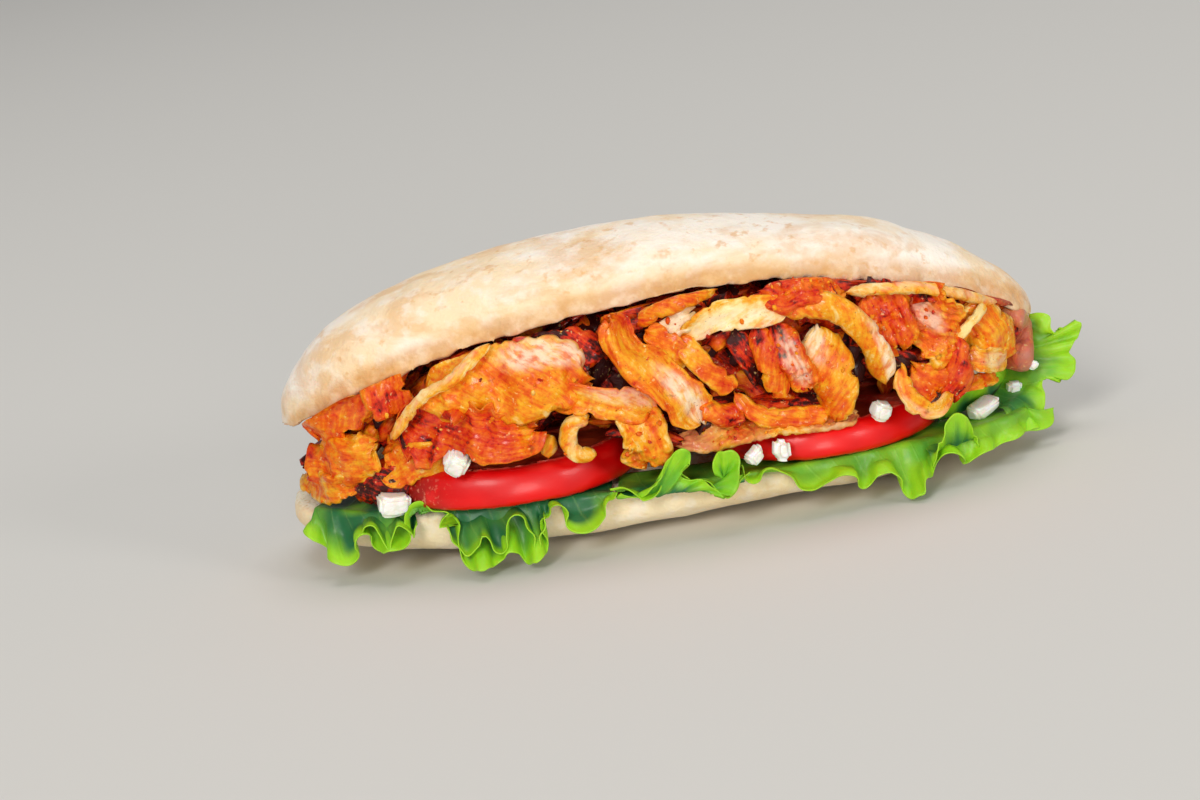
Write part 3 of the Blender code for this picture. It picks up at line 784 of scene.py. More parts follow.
# What sets some shavings apart: how crumbly the crust is (0 where it isn't given), how torn and rough (1),
# how pink (0), whether the heart is paler than the edges, and a pale spot, with its place along (0 to 1) and
# across (-1 to 1), its reach and its strength
shavingMarks = {
    "left strip": {"pale": (0.45, -0.7, 0.8, 0.35)},
    # its pale spot at the upper right is a painted highlight
    "left slab": {"torn": 0.5, "pale": (0.74, -0.6, 0.34, 0.8)},
    "ribbon": {"torn": 0.7, "creamHeart": True, "pale": (0.75, -0.5, 0.4, 0.5)},
    "hanging grain": {"crust": 0.6},
    "yellow curl": {"pale": (0.4, -0.4, 0.5, 0.3)},
    "broad ribbon": {"torn": 0.7, "creamHeart": True, "pale": (0.8, -0.2, 0.42, 0.9)},
    "pale sliver": {"pink": 0.6, "pale": (0.5, 0.0, 1.0, 0.7)},
    "cream arch": {"torn": 0.5, "creamHeart": True, "pale": (0.45, 0.5, 0.8, 0.7)},
    "golden arch": {"torn": 0.5, "pale": (0.85, -0.9, 0.45, 1.0)},
    "red lump": {"crust": 0.6},
    "grain strip": {"crust": 0.6, "pale": (0.5, 0.0, 0.5, 0.7)},
    "golden slab": {"torn": 0.7, "pale": (0.05, 0.4, 0.4, 0.8)},
    "flat slice": {"crust": 0.6, "pink": 0.6},
    "red grain": {"crust": 0.6},
    "orange grain": {"crust": 0.6, "pale": (0.35, 0.1, 0.3, 0.6)},
    "top strip": {"pale": (0.6, -0.4, 0.9, 0.4)},
    "tip scrap": {"pink": 0.5},
    "lower curl": {"pale": (0.45, 0.5, 0.5, 0.35)},
    "right scrap": {"pale": (0.6, 0.0, 0.5, 0.45)},
    "end chunk": {"pink": 1.0, "torn": 0.0},
}


def turningLine(course, steps, length, rolls, seed, look):
    # even points along the course, with the directions along, across and out of the shaving at each
    line = throughKnots(course, steps)
    along = unit(np.gradient(line, axis=0))
    share = np.linspace(0, 1, steps)
    roll = np.radians(rolls[0] + (rolls[1] - rolls[0]) * ease(share, 0, 1))
    turnSize, degrees = look["turning"]
    roll += np.radians(degrees) * lumps(onAxis(share * length), turnSize, seed)
    side = unit(np.cross(along, np.array(look["facing"])))
    out = unit(np.cross(side, along))
    cosine = np.cos(roll)[:, None]
    sine = np.sin(roll)[:, None]
    return line, along, side * cosine + out * sine, out * cosine - side * sine


def shavingSurface(size, rolls, course, seed, look, crust=0.0, torn=1.0):
    # closed rings along a shaving, as arrays with one row for each point
    width, thick = size
    length = walkedAlong(throughKnots(course, 80))[-1]
    steps = int(np.clip(length / look["cell"], *look["steps"]))
    across = int(np.clip(width / look["cell"], *look["across"]))
    line, along, side, out = turningLine(course, steps, length, rolls, seed, look)

    # columns run from -1 to 1 across it, and faces from 1 on its upper side to -1 on its lower one
    v = np.linspace(-1, 1, across)
    taper = np.clip(1 - np.abs(v) ** 4, 0, 1) ** 0.7
    ring = np.concatenate([v, v[-2:0:-1]])
    around = len(ring)
    rows = np.repeat(np.linspace(0, 1, steps), around)
    columns = np.tile(ring, steps)
    faces = np.tile(np.concatenate([taper, -taper[-2:0:-1]]), steps)
    endward = 2 * rows - 1
    ends = np.clip(1 - np.abs(endward) ** 9, 0.05, 1) ** 0.6
    endThin = np.clip(ends, 0.2, 1)
    flow = np.stack([rows * length, columns * width / 2, faces * 1.2], 1)

    # torn sides and ends, which follow the lean of the fibres
    lean = math.radians((seed * 53) % 80 - 40)
    slanted = rows * length + columns * width / 2 * math.tan(lean)
    sideLine = np.stack([slanted, np.where(columns > 0, 50.0, 100.0), rows * 0], 1)
    bites = layered(sideLine, look["bites"], seed) - 0.3 * ease(lumps(sideLine, 2.8, seed + 12), 0.3, 0.65)
    half = width / 2 * ends * (1 + torn * bites * np.abs(columns))
    endLine = np.stack([np.sign(endward) * 9, columns * width / 2, rows * 0], 1)
    longest = min(4.0, 0.3 * width)
    stretch = torn * layered(endLine, look["rags"], seed) * longest * endward * np.abs(endward) ** 5

    # fibres in bundles, and a crumbly crust on the coarse ones
    turned = np.array([[math.cos(lean), -math.sin(lean), 0], [math.sin(lean), math.cos(lean), 0], [0, 0, 1]])
    fibre = flow @ turned + np.array([0, 0, seed * 7])
    strandSize, strandScale, strandHeight = look["strands"]
    bundleSize, bundleScale, bundleHeight = look["bundles"]
    strands = np.abs(lumps(fibre * np.array([strandScale, 1, 1]), strandSize, seed + 2))
    bundles = np.abs(lumps(fibre * np.array([bundleScale, 1, 1]), bundleSize, seed + 15))
    cells = sum(part * np.abs(lumps(flow, size, seed + number)) for size, part, number in look["cells"])
    rough = 0.3 + 0.7 * torn
    cellHeight, crustHeight = look["cellHeights"]
    cellHeight += crust * crustHeight
    height = rough * (strandHeight * strands + bundleHeight * bundles + cellHeight * cells)
    # painted shade: darker in the grooves between strands and bundles, and between crust cells
    deep = 0.35 * ease(0.14 - strands, 0, 0.14) + 0.5 * ease(0.16 - bundles, 0, 0.16)
    deep = rough * (deep + crust * 0.9 * ease(0.3 - cells, 0, 0.3))

    # bent, cupped and uneven in thickness
    bendSize, bendShare = look["bend"]
    creaseSize, creaseShare = look["crease"]
    swellSize, swellShare = look["swelling"]
    bend = bendShare * width * lumps(flow, bendSize, seed + 1)
    bend -= creaseShare * width * np.abs(lumps(flow, creaseSize, seed + 14))
    cup = look["cup"] * width * (columns**2 - 0.4) * (1 if seed % 3 else -1)
    swelling = 1 + swellShare * lumps(flow, swellSize, seed + 5)
    depth = faces * (thick / 2 * endThin * swelling) + bend + cup
    depth += np.sign(faces) * height * np.abs(faces) ** 0.5 * endThin
    points = np.repeat(line, around, axis=0)
    for direction, distance in ((side, columns * half), (out, depth), (along, stretch)):
        points += np.repeat(direction, around, axis=0) * distance[:, None]
    return {
        "points": points,
        "skin": ringFaces(steps, around),
        "columns": columns,
        "rows": rows,
        "faces": faces,
        "flow": flow,
        "fibre": fibre * mm,
        "deep": np.clip(deep, 0, 1),
    }


def ringFaces(steps, around):
    # skins the rings and closes both flat ends with a strip
    faces = []
    for k in range(steps - 1):
        for i in range(around):
            j = (i + 1) % around
            a = k * around
            faces.append((a + i, a + j, a + around + j, a + around + i))
    for k, flip in ((0, True), (steps - 1, False)):
        a = k * around
        for i in range(around // 2):
            low = (a + i, a + i + 1, a + (around - i - 1) % around, a + (around - i) % around)
            corners = tuple(dict.fromkeys(low))
            faces.append(corners[::-1] if flip else corners)
    return faces


def underLid(points):
    # keeps what lies in the mouth below the lid's drooping lip
    x, y, z = points.T
    behindLip = y - lipY(x)
    limit = lidLip(x) - lidDroop(x) - 0.6 + (1.4 + 0.27 * (5 - behindLip)) * ease(behindLip, 4, 0)
    room = 3.0  # below the limit, over which it is pressed down softly
    over = (z - limit + room) / room
    points[:, 2] = np.where(over > 0, limit - room + room * np.tanh(over), z)
    return points


def meatFinish(look):
    s = Shader("shaved meat")
    fibre = s.layer("fibre", "Vector")
    strands = s.stretched((0.14, 1.0, 1.0), fibre)
    uneven = (
        (s.patches(6, 0.3, 0.7, 4, distortion=0.5), 0.13),
        (s.patches(1.2, 0.25, 0.75, 4, strands), 0.11),
        (s.patches(1.5, 0.3, 0.7, 4), 0.07),
    )
    roast = s.layer("roast")
    for patches, most in uneven:
        roast = s.math("ADD", roast, s.between(patches, -most, most))
    # painted shade in the grooves darkens the roast
    roast = s.math("MULTIPLY_ADD", s.layer("deep"), 0.26, roast)
    stops = ((0.02, "cream"), (0.28, "golden"), (0.55, "orange"), (0.82, "red"), (1.0, "dark"))
    base = s.ramp(roast, *((place, look[tone]) for place, tone in stops))
    pink = s.math("MULTIPLY", s.layer("pink"), s.between(s.patches(4, 0.3, 0.7, 4), 0.6, 1.0))
    base = s.over(base, look["pink"], pink)
    streaks = s.patches(2.0, 0.36, 0.6, 5, s.stretched((0.45, 1.0, 1.0), fibre))
    # milky streaks in the pale spots: paler meat, and on the left slab a painted highlight
    milky = s.math("MULTIPLY", s.layer("pale"), s.between(streaks, 0.2, 1.0))
    base = s.over(base, look["milk"], milky, 0.9)
    base = s.over(base, look["cream"], s.patches(1.7, 0.64, 0.7, distortion=0.5), 0.45)
    base = s.over(base, look["spice"], s.patches(4.6, 0.62, 0.76, 5), 0.55)
    base = s.over(base, look["spice"], s.patches(0.8, 0.66, 0.74, 2), 0.5)
    s.paint(base)
    s.feed("Roughness", s.between(s.patches(3.0, 0.35, 0.65), 0.4, 0.66))
    s.feed("Coat Weight", s.between(s.patches(5.0, 0.5, 0.62), 0.0, 0.5))
    s.bump(1.3, 0.6, 0.8, 0.5, 0.7, s.stretched((0.3, 1.0, 1.0), fibre))
    s.set(coatRoughness=0.2, scatter=0.06, scatterScale=1.2 * mm, specular=0.28)
    return s.material


def makeShaving(name, spec, seed, look):
    marks = shavingMarks.get(name, {})
    width, thick, roastA, roastB, rollA, rollB, course = spec
    roastA, roastB = (0.5 + look["contrast"] * (roast - 0.5) for roast in (roastA, roastB))
    line = [(x, float(heapY(x)) - proud, z) for x, z, proud in course]
    size = (width * look["widen"], thick * look["thin"])
    crust = marks.get("crust", 0.0)
    made = shavingSurface(size, (rollA, rollB), line, seed, look, crust, marks.get("torn", 1.0))
    rows, columns, flow = made["rows"], made["columns"], made["flow"]
    roast = roastA + (roastB - roastA) * rows + layered(flow, look["tones"], seed)
    if "creamHeart" in marks:
        roast += 0.2 * ease(np.abs(columns), 0.35, 0.85)
    else:
        roast -= 0.25 * np.abs(columns) ** 5 * (0.6 + 0.4 * lumps(flow, 5, seed + 8))
    alongAt, acrossAt, reach, strength = marks.get("pale", (0, 0, 1, 0))
    away = np.hypot((rows - alongAt) / reach, (columns - acrossAt) / (1.6 * reach))
    return {
        "points": underLid(made["points"]),
        "skin": made["skin"],
        "roast": roast,
        "pink": marks.get("pink", 0.0) * ease(lumps(flow, 6, seed + 9), -0.9, 0.3),
        "pale": strength * ease(1 - away, 0, 0.6),
        "deep": made["deep"],
        "fibre": made["fibre"],
        "open": ease(made["faces"], 0.2, 0.6) * (0.5 if crust else 0.06),  # to crumbs
    }


def joined(parts):
    # the points, the faces and the layers of all the parts together
    faces = []
    count = 0
    for part in parts:
        faces += [tuple(i + count for i in face) for face in part["skin"]]
        count += len(part["points"])
    layers = {key: np.concatenate([part[key] for part in parts]) for key in parts[0] if key != "skin"}
    return layers.pop("points"), faces, layers


def makeMeat(look):
    finish = meatFinish(look)
    groups = {"left": [], "middle": [], "centre": [], "right": []}
    for seed, (name, spec) in enumerate(shavings.items(), start=1):
        x = spec[-1][1][0]
        place = "left" if x < -35 else "middle" if x < 25 else "centre" if x < 70 else "right"
        groups[place].append(makeShaving(name, spec, seed, look))
    pieces = []
    for place, members in groups.items():
        mesh = makeMesh("shavings_" + place, *joined(members))
        reshape(mesh, turnOutward)
        pieces.append(addPiece("shavings_" + place, mesh, finish))
        print("meat", place + ":", len(members), "shavings,", len(mesh.polygons), "faces")
    return finish, pieces


meatSurface, shavingPieces = makeMeat(meatLook)

coreLook = {
    "voxel": 2.2,
    "softening": 3,
    "drawnIn": 5.0,  # behind the shavings
    "frontDrawnIn": 3.5,  # and so much more at its front, away from the tips
    # near black: painted shade in the gaps between the shavings
    "roast": 0.95,
}


def makeCore(look, finish):
    # the inside of the heap, drawn in behind the shavings
    mesh = softCopy("meat", "meat_core", look["voxel"], look["softening"])
    points = readPoints(mesh)
    normals = readNormals(mesh)
    notTips = 1 - ease(np.abs(points[:, 0]), 90, 115)
    inward = look["drawnIn"] + look["frontDrawnIn"] * ease(-normals[:, 1], 0, 0.8) * notTips
    uneven = (0.7 + 0.9 * notTips) * roughLumps(points, 9, 31, 3)
    points = points + normals * (uneven - inward * ease(-points[:, 1], -30, 0))[:, None]
    inMouth = points[:, 1] < -20
    points[inMouth] = underLid(points[inMouth])
    writePoints(mesh, points)
    # a dark roast, as painted shade between the shavings
    addLayer(mesh, "roast", look["roast"] + 0.15 * lumps(points, 8, 41))
    addLayer(mesh, "fibre", points * mm)
    for layer in ("pink", "pale", "deep"):
        addLayer(mesh, layer, np.zeros(len(points)))
    front = ease(-normals[:, 1], -0.1, 0.3) * ease(-points[:, 1], -6, 2)
    ends = ease(np.abs(points[:, 0]), 100, 108) * ease(normals[:, 2], -0.5, 0.1)
    addLayer(mesh, "open", np.clip(front + 0.6 * ends, 0, 1) * ease(points[:, 2], 22, 27))
    piece = addPiece("meat_core", mesh, finish, ["meat"])
    print("core:", len(mesh.polygons), "faces")
    return piece


heapCore = makeCore(coreLook, meatSurface)

smallLook = {
    "spacing": 5.6,
    "smallest": 0.7,
    "largest": 1.25,
    "tilt": 24.0,
    "seed": 7,
    # added to the roast: darker than the large shavings, as painted shade on what lies deeper in the heap
    "tone": (0.2, 0.6),
    # length, width, thickness and roast of each kind
    "kinds": (
        (18, 8, 1.8, 0.35),
        (22, 9, 2.0, 0.5),
        (15, 9, 1.8, 0.6),
        (24, 6, 1.6, 0.4),
        (13, 7, 2.0, 0.75),
        (17, 11, 2.0, 0.45),
    ),
    # x as a share of the length, then y and z
    "course": ((-0.5, 0, 0), (-1 / 6, 1.2, 1.0), (0.2, -0.8, 1.2), (0.5, 0.5, 0)),
    "rolls": (-8, 12),
    "crust": 0.1,
    "cell": 2.2,
}
crumbLook = {
    "spacing": 2.1,
    "smallest": 0.5,
    "largest": 1.4,
    "tilt": 90.0,
    "seed": 3,
    "tone": (-0.05, 0.35),
    # size and roast of each kind
    "kinds": ((1.4, 0.32), (1.0, 0.4), (1.6, 0.5), (1.0, 0.3)),
    "squashed": (1.3, 0.9, 0.7),
}


def scatterTree(name):
    # strews the things of a collection over a surface where its layer "open" lets it
    tree = bpy.data.node_groups.new(name, "GeometryNodeTree")
    sockets = {
        "Geometry": "Geometry",
        "Things": "Collection",
        "Spacing": "Float",
        "Smallest": "Float",
        "Largest": "Float",
        "Tilt": "Float",
        "Lightest": "Float",
        "Darkest": "Float",
        "Seed": "Int",
        "Finish": "Material",
    }
    for socketName, kind in sockets.items():
        tree.interface.new_socket(socketName, in_out="INPUT", socket_type="NodeSocket" + kind)
    tree.interface.new_socket("Geometry", in_out="OUTPUT", socket_type="NodeSocketGeometry")

    def add(kind, inputs, output=0, **settings):
        return addNode(tree, kind, inputs, **settings).outputs[output]

    given = tree.nodes.new("NodeGroupInput").outputs
    spacing = {
        "Mesh": given["Geometry"],
        "Distance Min": given["Spacing"],
        "Density Max": 200000.0,
        "Density Factor": add("GeometryNodeInputNamedAttribute", {"Name": "open"}, data_type="FLOAT"),
        "Seed": given["Seed"],
    }
    points = addNode(tree, "GeometryNodeDistributePointsOnFaces", spacing, distribute_method="POISSON")

    # leaned either way and spun right round
    lean = add("ShaderNodeMath", {0: given["Tilt"], 1: -1.0}, operation="MULTIPLY")
    low = add("ShaderNodeCombineXYZ", {"X": lean, "Y": lean})
    high = add("ShaderNodeCombineXYZ", {"X": given["Tilt"], "Y": given["Tilt"], "Z": 2 * math.pi})
    spin = {0: low, 1: high, "Seed": given["Seed"]}
    angles = add("FunctionNodeRandomValue", spin, data_type="FLOAT_VECTOR")
    turned = {0: points.outputs["Rotation"], 1: add("FunctionNodeEulerToRotation", {0: angles})}
    sizes = {2: given["Smallest"], 3: given["Largest"], "Seed": given["Seed"]}
    things = {"Collection": given["Things"], "Separate Children": True, "Reset Children": True}
    placing = {
        "Points": points.outputs["Points"],
        "Instance": add("GeometryNodeCollectionInfo", things, transform_space="ORIGINAL"),
        "Pick Instance": True,
        "Rotation": add("FunctionNodeRotateRotation", turned, rotation_space="LOCAL"),
        "Scale": add("FunctionNodeRandomValue", sizes, 1, data_type="FLOAT"),
    }
    tones = {2: given["Lightest"], 3: given["Darkest"]}
    toning = {
        "Geometry": add("GeometryNodeInstanceOnPoints", placing),
        "Name": "tone",
        "Value": add("FunctionNodeRandomValue", tones, 1, data_type="FLOAT"),
    }
    toned = add("GeometryNodeStoreNamedAttribute", toning, data_type="FLOAT", domain="INSTANCE")
    real = add("GeometryNodeRealizeInstances", {"Geometry": toned})
    coloured = add("GeometryNodeSetMaterial", {"Geometry": real, "Material": given["Finish"]})
    addNode(tree, "NodeGroupOutput", {"Geometry": coloured})
    return tree


def strew(name, surface, things, look, finish, tree):
    # the scattered things as one plain mesh
    base = newObject("surface", surface)
    spread = base.modifiers.new("strewn", "NODES")
    spread.node_group = tree
    values = {
        "Things": things,
        "Spacing": look["spacing"] * mm,
        "Smallest": look["smallest"],
        "Largest": look["largest"],
        "Tilt": math.radians(look["tilt"]),
        "Lightest": look["tone"][0],
        "Darkest": look["tone"][1],
        "Seed": look["seed"],
        "Finish": finish,
    }
    for item in tree.interface.items_tree:
        if item.in_out == "INPUT" and item.name in values:
            spread[item.identifier] = values[item.name]
    mesh = appliedMesh(base, name)
    # the tone darkens the small shavings as painted shade, and varies the crumbs' roast at random
    roast = readLayer(mesh, "roast") + readLayer(mesh, "tone")
    mesh.attributes["roast"].data.foreach_set("value", roast)
    mesh.attributes.remove(mesh.attributes["tone"])
    for kind in list(things.objects):
        bpy.data.objects.remove(kind)
    bpy.data.collections.remove(things)
    bpy.data.meshes.remove(surface)
    mesh.shade_smooth()
    return mesh


def kindsOf(name, meshes):
    kinds = bpy.data.collections.new(name)
    bpy.context.scene.collection.children.link(kinds)
    for mesh in meshes:
        kinds.objects.link(bpy.data.objects.new(mesh.name, mesh))
    return kinds


def smallKinds(look, meat):
    coarser = dict(meat, cell=look["cell"], facing=(0.0, 0.0, 1.0))
    for number, (length, width, thick, roast) in enumerate(look["kinds"]):
        course = [(share * length, y, z) for share, y, z in look["course"]]
        size = (width, thick)
        made = shavingSurface(size, look["rolls"], course, 60 + number, coarser, look["crust"])
        layers = {
            "roast": roast + 0.14 * lumps(made["flow"], 6, 70 + number) - 0.2 * np.abs(made["columns"]) ** 5,
            "deep": made["deep"],
            "fibre": made["fibre"],
            "pink": made["rows"] * 0,
            "pale": made["rows"] * 0,
        }
        mesh = makeMesh(f"kind_{number}", made["points"] - loafPlace, made["skin"], layers)
        reshape(mesh, turnOutward)
        yield mesh


def crumbKinds(look):
    for number, (size, roast) in enumerate(look["kinds"]):
        shape = bmesh.new()
        bmesh.ops.create_icosphere(shape, subdivisions=1, radius=size / 2)
        points, faces = takenApart(shape)
        points *= (1 + 0.7 * lumps(points, size * 0.6, 90 + number))[:, None] * np.array(look["squashed"])
        layers = {"roast": np.full(len(points), roast), "fibre": points * mm}
        for layer in ("pink", "pale", "deep"):
            layers[layer] = np.zeros(len(points))
        yield makeMesh(f"crumb_{number}", points - loafPlace, faces, layers)


def makeSmallOnes(small, crumbs, meat, finish):
    # small shavings over the heap between the large ones, and crumbs on the coarse shavings
    tree = scatterTree("strew over a surface")
    kinds = kindsOf("small shavings", smallKinds(small, meat))
    mesh = strew("small_shavings", heapCore.data.copy(), kinds, small, finish, tree)
    writePoints(mesh, underLid(readPoints(mesh)))
    addPiece("small_shavings", mesh, finish)
    print("small shavings:", len(mesh.polygons), "faces")
    together = bmesh.new()
    for piece in shavingPieces:
        together.from_mesh(piece.data)
    surface = bpy.data.meshes.new("all shavings")
    together.to_mesh(surface)
    together.free()
    mesh = strew("meat_crumbs", surface, kindsOf("crumbs", crumbKinds(crumbs)), crumbs, finish, tree)
    addPiece("meat_crumbs", mesh, finish)
    print("crumbs:", len(mesh.polygons), "faces")


makeSmallOnes(smallLook, crumbLook, meatLook, meatSurface)

# Each leaf is one or more sheets. A sheet's hem is its outer edge, as x, y, z. A hanging sheet falls over
# the base's rim, a frill reaches straight out from under the filling, and a cup curls from its base, round
# its belly, to its hem.
leaves = {
    "lettuce_left": (
        {
            "kind": "hanging", "shade": 1.15, "ruffle": 2.4, "period": 15.0,
            "hem": (
                (-120, -26, 16), (-114, -36, 8), (-109, -42, 7), (-104, -44, 12), (-100.5, -46, 16),
                (-98, -48, 12), (-95, -50, 10), (-91, -51, 10.5), (-87.5, -50, 14), (-86, -48, 18.5),
                (-83.5, -47.5, 21.5), (-78, -49, 22), (-74.5, -50.5, 20.5), (-73.8, -53, 16),
                (-73, -56, 11), (-71, -59, 6), (-68, -61, 2.2), (-65, -61.5, 1.4), (-61.5, -60, 3.5),
                (-57, -58, 5), (-53.5, -59, 5.5), (-51, -61, 2.6), (-48, -61.5, 1.5), (-45, -60, 4),
                (-43.5, -57.5, 9), (-42.3, -55.5, 14.5), (-41, -55, 17.5), (-38.5, -57, 16),
                (-37, -60, 11.5), (-33.5, -61, 9.5), (-28.5, -61, 10), (-24.5, -59, 12.5),
                (-21.5, -57, 16), (-20, -55.5, 19.5),
            ),
        },
        {
            "kind": "frill", "shade": 1.3, "ruffle": 0.5, "period": 9.0,
            "hem": (
                (-75, -55, 17), (-73.5, -58, 11.5), (-70, -59.5, 8), (-65.5, -60, 10.5),
                (-63.5, -60, 13.5), (-61.5, -60, 9), (-58.5, -60.5, 7.5), (-55.8, -60.5, 11),
                (-54.6, -60, 16), (-52.3, -60, 18), (-50, -60, 16.5), (-48.8, -60.5, 11.5),
                (-47.8, -61, 7.5), (-45.5, -60.5, 9), (-43, -58, 16),
            ),
        },
        {
            "kind": "frill", "shade": 1.3, "ruffle": 0.5, "period": 9.0,
            "hem": (
                (-102, -47, 18), (-98.5, -49.5, 19.5), (-96, -51, 14.5), (-94, -52, 12),
                (-92.2, -52, 15), (-90.5, -51.5, 19.5), (-88, -50.5, 18), (-86, -49.5, 14),
                (-84.5, -49, 18),
            ),
        },
    ),
    "lettuce_middle": (
        {
            "kind": "hanging", "shade": 0.7, "ruffle": 1.2, "period": 16.0,
            "hem": (
                (-21.5, -55.5, 21), (-18, -56.5, 20), (-15, -58, 17.5), (-12, -60, 15.5),
                (-9, -60, 16.5), (-5.5, -58.5, 19), (-1, -57, 20.5), (4, -57, 19.5), (8.5, -58.5, 18),
                (11.5, -60, 14.5), (14.5, -61, 12), (17.5, -60, 14), (20, -57.5, 16.5),
                (23.5, -56.5, 17),
            ),
        },
        {
            "kind": "cup", "shade": 1.7, "bright": 0.35, "ruffle": 0.5, "period": 9.0,
            "base": ((-20, -48, 18), (0, -49, 17.4), (21, -48, 16.8)),
            "belly": ((-20, -55, 17.6), (0, -57.5, 16.4), (21, -56.5, 15.8)),
            "hem": (
                (-18, -56, 19), (-13.5, -58.5, 17.5), (-10, -60, 18), (-6.5, -60, 20.5),
                (-3.2, -60.5, 25.5), (-0.2, -61, 30), (3, -61, 32), (5.4, -60.5, 30), (5, -60, 26.5),
                (2.6, -59, 24), (1.2, -57.5, 21.5), (4.5, -57.5, 19.5), (8, -58.5, 19.5),
                (11.2, -61, 16.5), (14.6, -62, 13), (17.8, -61.5, 15), (19.6, -61, 19), (20.6, -61, 24),
                (19.6, -61, 28), (16.4, -61, 29.2), (13.4, -60.5, 27.4), (11.6, -59.5, 23.4),
                (13, -58, 19.4), (17, -57, 17.6), (21, -56, 18),
            ),
        },
    ),
    "lettuce_right": (
        {
            "kind": "hanging", "shade": 0.34, "ruffle": 2.2, "period": 17.0,
            "hem": (
                (19, -55, 18), (23.5, -57, 15.5), (29, -57.5, 15), (34.5, -59, 13), (39, -60.5, 10.5),
                (44.5, -59.5, 10.5), (49, -57, 10.5), (54, -57, 9), (58.5, -57, 7), (63, -55, 8),
                (67, -55, 8), (69.5, -57, 6), (71.8, -59.5, 1.6), (74.5, -60.5, 0.6), (77.2, -59.5, 1),
                (79.5, -56, 4.5), (82.5, -51.5, 8.5), (86, -50, 9.5), (89, -49.5, 6.5), (93, -47, 5.5),
                (97.5, -44, 6.5), (103.5, -39.5, 6.5), (108.5, -35, 7.5), (113, -30.5, 8.5),
                (118, -27, 6.5), (122, -23, 6.5), (125, -18, 10.5),
            ),
        },
        {
            "kind": "cup", "shade": 1.1, "ruffle": 0.5, "period": 9.0,
            "base": ((80, -44, 14.6), (90, -38, 14.6), (100, -33, 14.6)),
            "belly": ((81, -50, 12.5), (90, -46, 12.5), (98, -41, 12)),
            "hem": (
                (82, -52, 8), (84, -53, 12), (85.2, -53, 17.5), (87, -52.5, 22), (89.6, -52, 24.2),
                (93, -50, 23.6), (95.6, -47.5, 20.5), (97.2, -45.5, 15.5), (97.6, -44.5, 10),
            ),
        },
        {
            "kind": "cup", "ruffle": 0.8, "period": 11.0,
            "base": ((88, -26, 15.2), (100, -17, 15), (110, -9, 16), (116, -3, 19)),
            "belly": ((88, -31, 17), (101, -21, 17.5), (111, -12.5, 19), (117, -5, 23)),
            "hem": (
                (87, -37, 20), (91, -34, 23.5), (95, -30, 22.5), (99, -25.5, 25), (103, -22, 24),
                (107, -18, 26), (111, -12.5, 25.5), (115, -7.5, 28), (117.5, -3.5, 30),
            ),
        },
        {
            "kind": "cup", "ruffle": 1.3, "period": 13.0,
            "base": (
                (106, -22, 17.5), (111, -14, 19), (115, -8, 22), (117.5, -4, 27), (119, -2, 33),
                (120, -2, 39),
            ),
            "belly": (
                (110, -28, 15), (118, -20, 15.5), (123.5, -13, 19), (127, -8, 26), (129, -6, 32),
                (126, -4, 38),
            ),
            "hem": (
                (108, -34, 9), (112, -30, 9), (117, -27, 7), (121.5, -23, 6.5), (124.5, -18, 10.5),
                (126, -14, 16.5), (127.5, -12.5, 19.5), (130, -12.5, 19.5), (134, -12.5, 17),
                (136.8, -11.5, 19), (138, -10.5, 23), (136.6, -9.5, 26), (138.6, -9.5, 28.5),
                (141, -9, 31), (142.4, -8.5, 34.8), (140.6, -8, 35.4), (137.4, -7, 33.2),
                (134, -7, 32.8), (132, -6.5, 34.5), (132.2, -5.5, 38), (129, -4, 39.4), (126, -3, 39),
            ),
        },
    ),
}
lettuceLook = {
    "column": 0.55,  # between two columns of points
    "rows": {"hanging": 52, "frill": 30, "cup": 46},
    "thick": 0.36,
    "lowest": 0.45,
    "widest": 118.0,  # x past which a sheet's inner rails don't reach
    "ruffled": (0.35, 0.95),  # where the ruffles begin, and are full, from the tucked side to the hem
    "lift": 0.6,  # how far they rise, as a share of their height
    "foldOver": 0.24,
    "unevenHem": ((7.0, 0.7, 6), (3.0, 0.3, 7)),  # size, height and seed
    "rimWave": (8.0, 0.35),  # length and height of the small waves along the hem
    "blister": (5.5, 0.5),  # size and height of the bumps
    "veinGap": 8.5,
    # the light line along the hem: the leaf's paler edge, with a painted highlight
    "edge": srgb(182, 222, 70),
    "light": srgb(158, 216, 28),
    "green": srgb(108, 188, 28),
    # painted shade in the hollows, the folds and under the filling
    "deep": srgb(8, 96, 58),
    "vein": srgb(170, 210, 96),
}


def lettuceFinish(look):
    s = Shader("leaf lettuce")
    base = s.mix(s.patches(9, 0.3, 0.7), look["green"], look["light"])
    # lighter towards the hem: the leaf's paler margin, partly painted light
    base = s.over(base, look["light"], s.layer("hemward"), 0.75)
    # painted shade
    base = s.over(base, look["deep"], s.layer("hollow"), 0.95)
    base = s.over(base, look["vein"], s.layer("vein"), 0.14)
    # a paler edge along the hem, partly a painted highlight
    base = s.over(base, look["edge"], s.layer("rim"), 0.16)
    s.paint(base)
    s.bump(3.4, 1.5, 0.5, 0.45, 0.5, extra=s.math("MULTIPLY", s.layer("vein"), 0.5))
    s.set(roughness=0.46, coat=0.12, coatRoughness=0.22, specular=0.35)
    s.set(scatter=0.2, scatterScale=1.4 * mm)
    return s.material


def smoothed(values, width):
    # a running mean that keeps both ends
    padded = np.pad(values, ((width // 2, width // 2), (0, 0)), mode="edge")
    kernel = np.ones(width) / width
    return np.stack([np.convolve(padded[:, k], kernel, mode="valid") for k in range(values.shape[1])], 1)


# The rails of a sheet run along it from its tucked-in side to its hem, each with its place between them


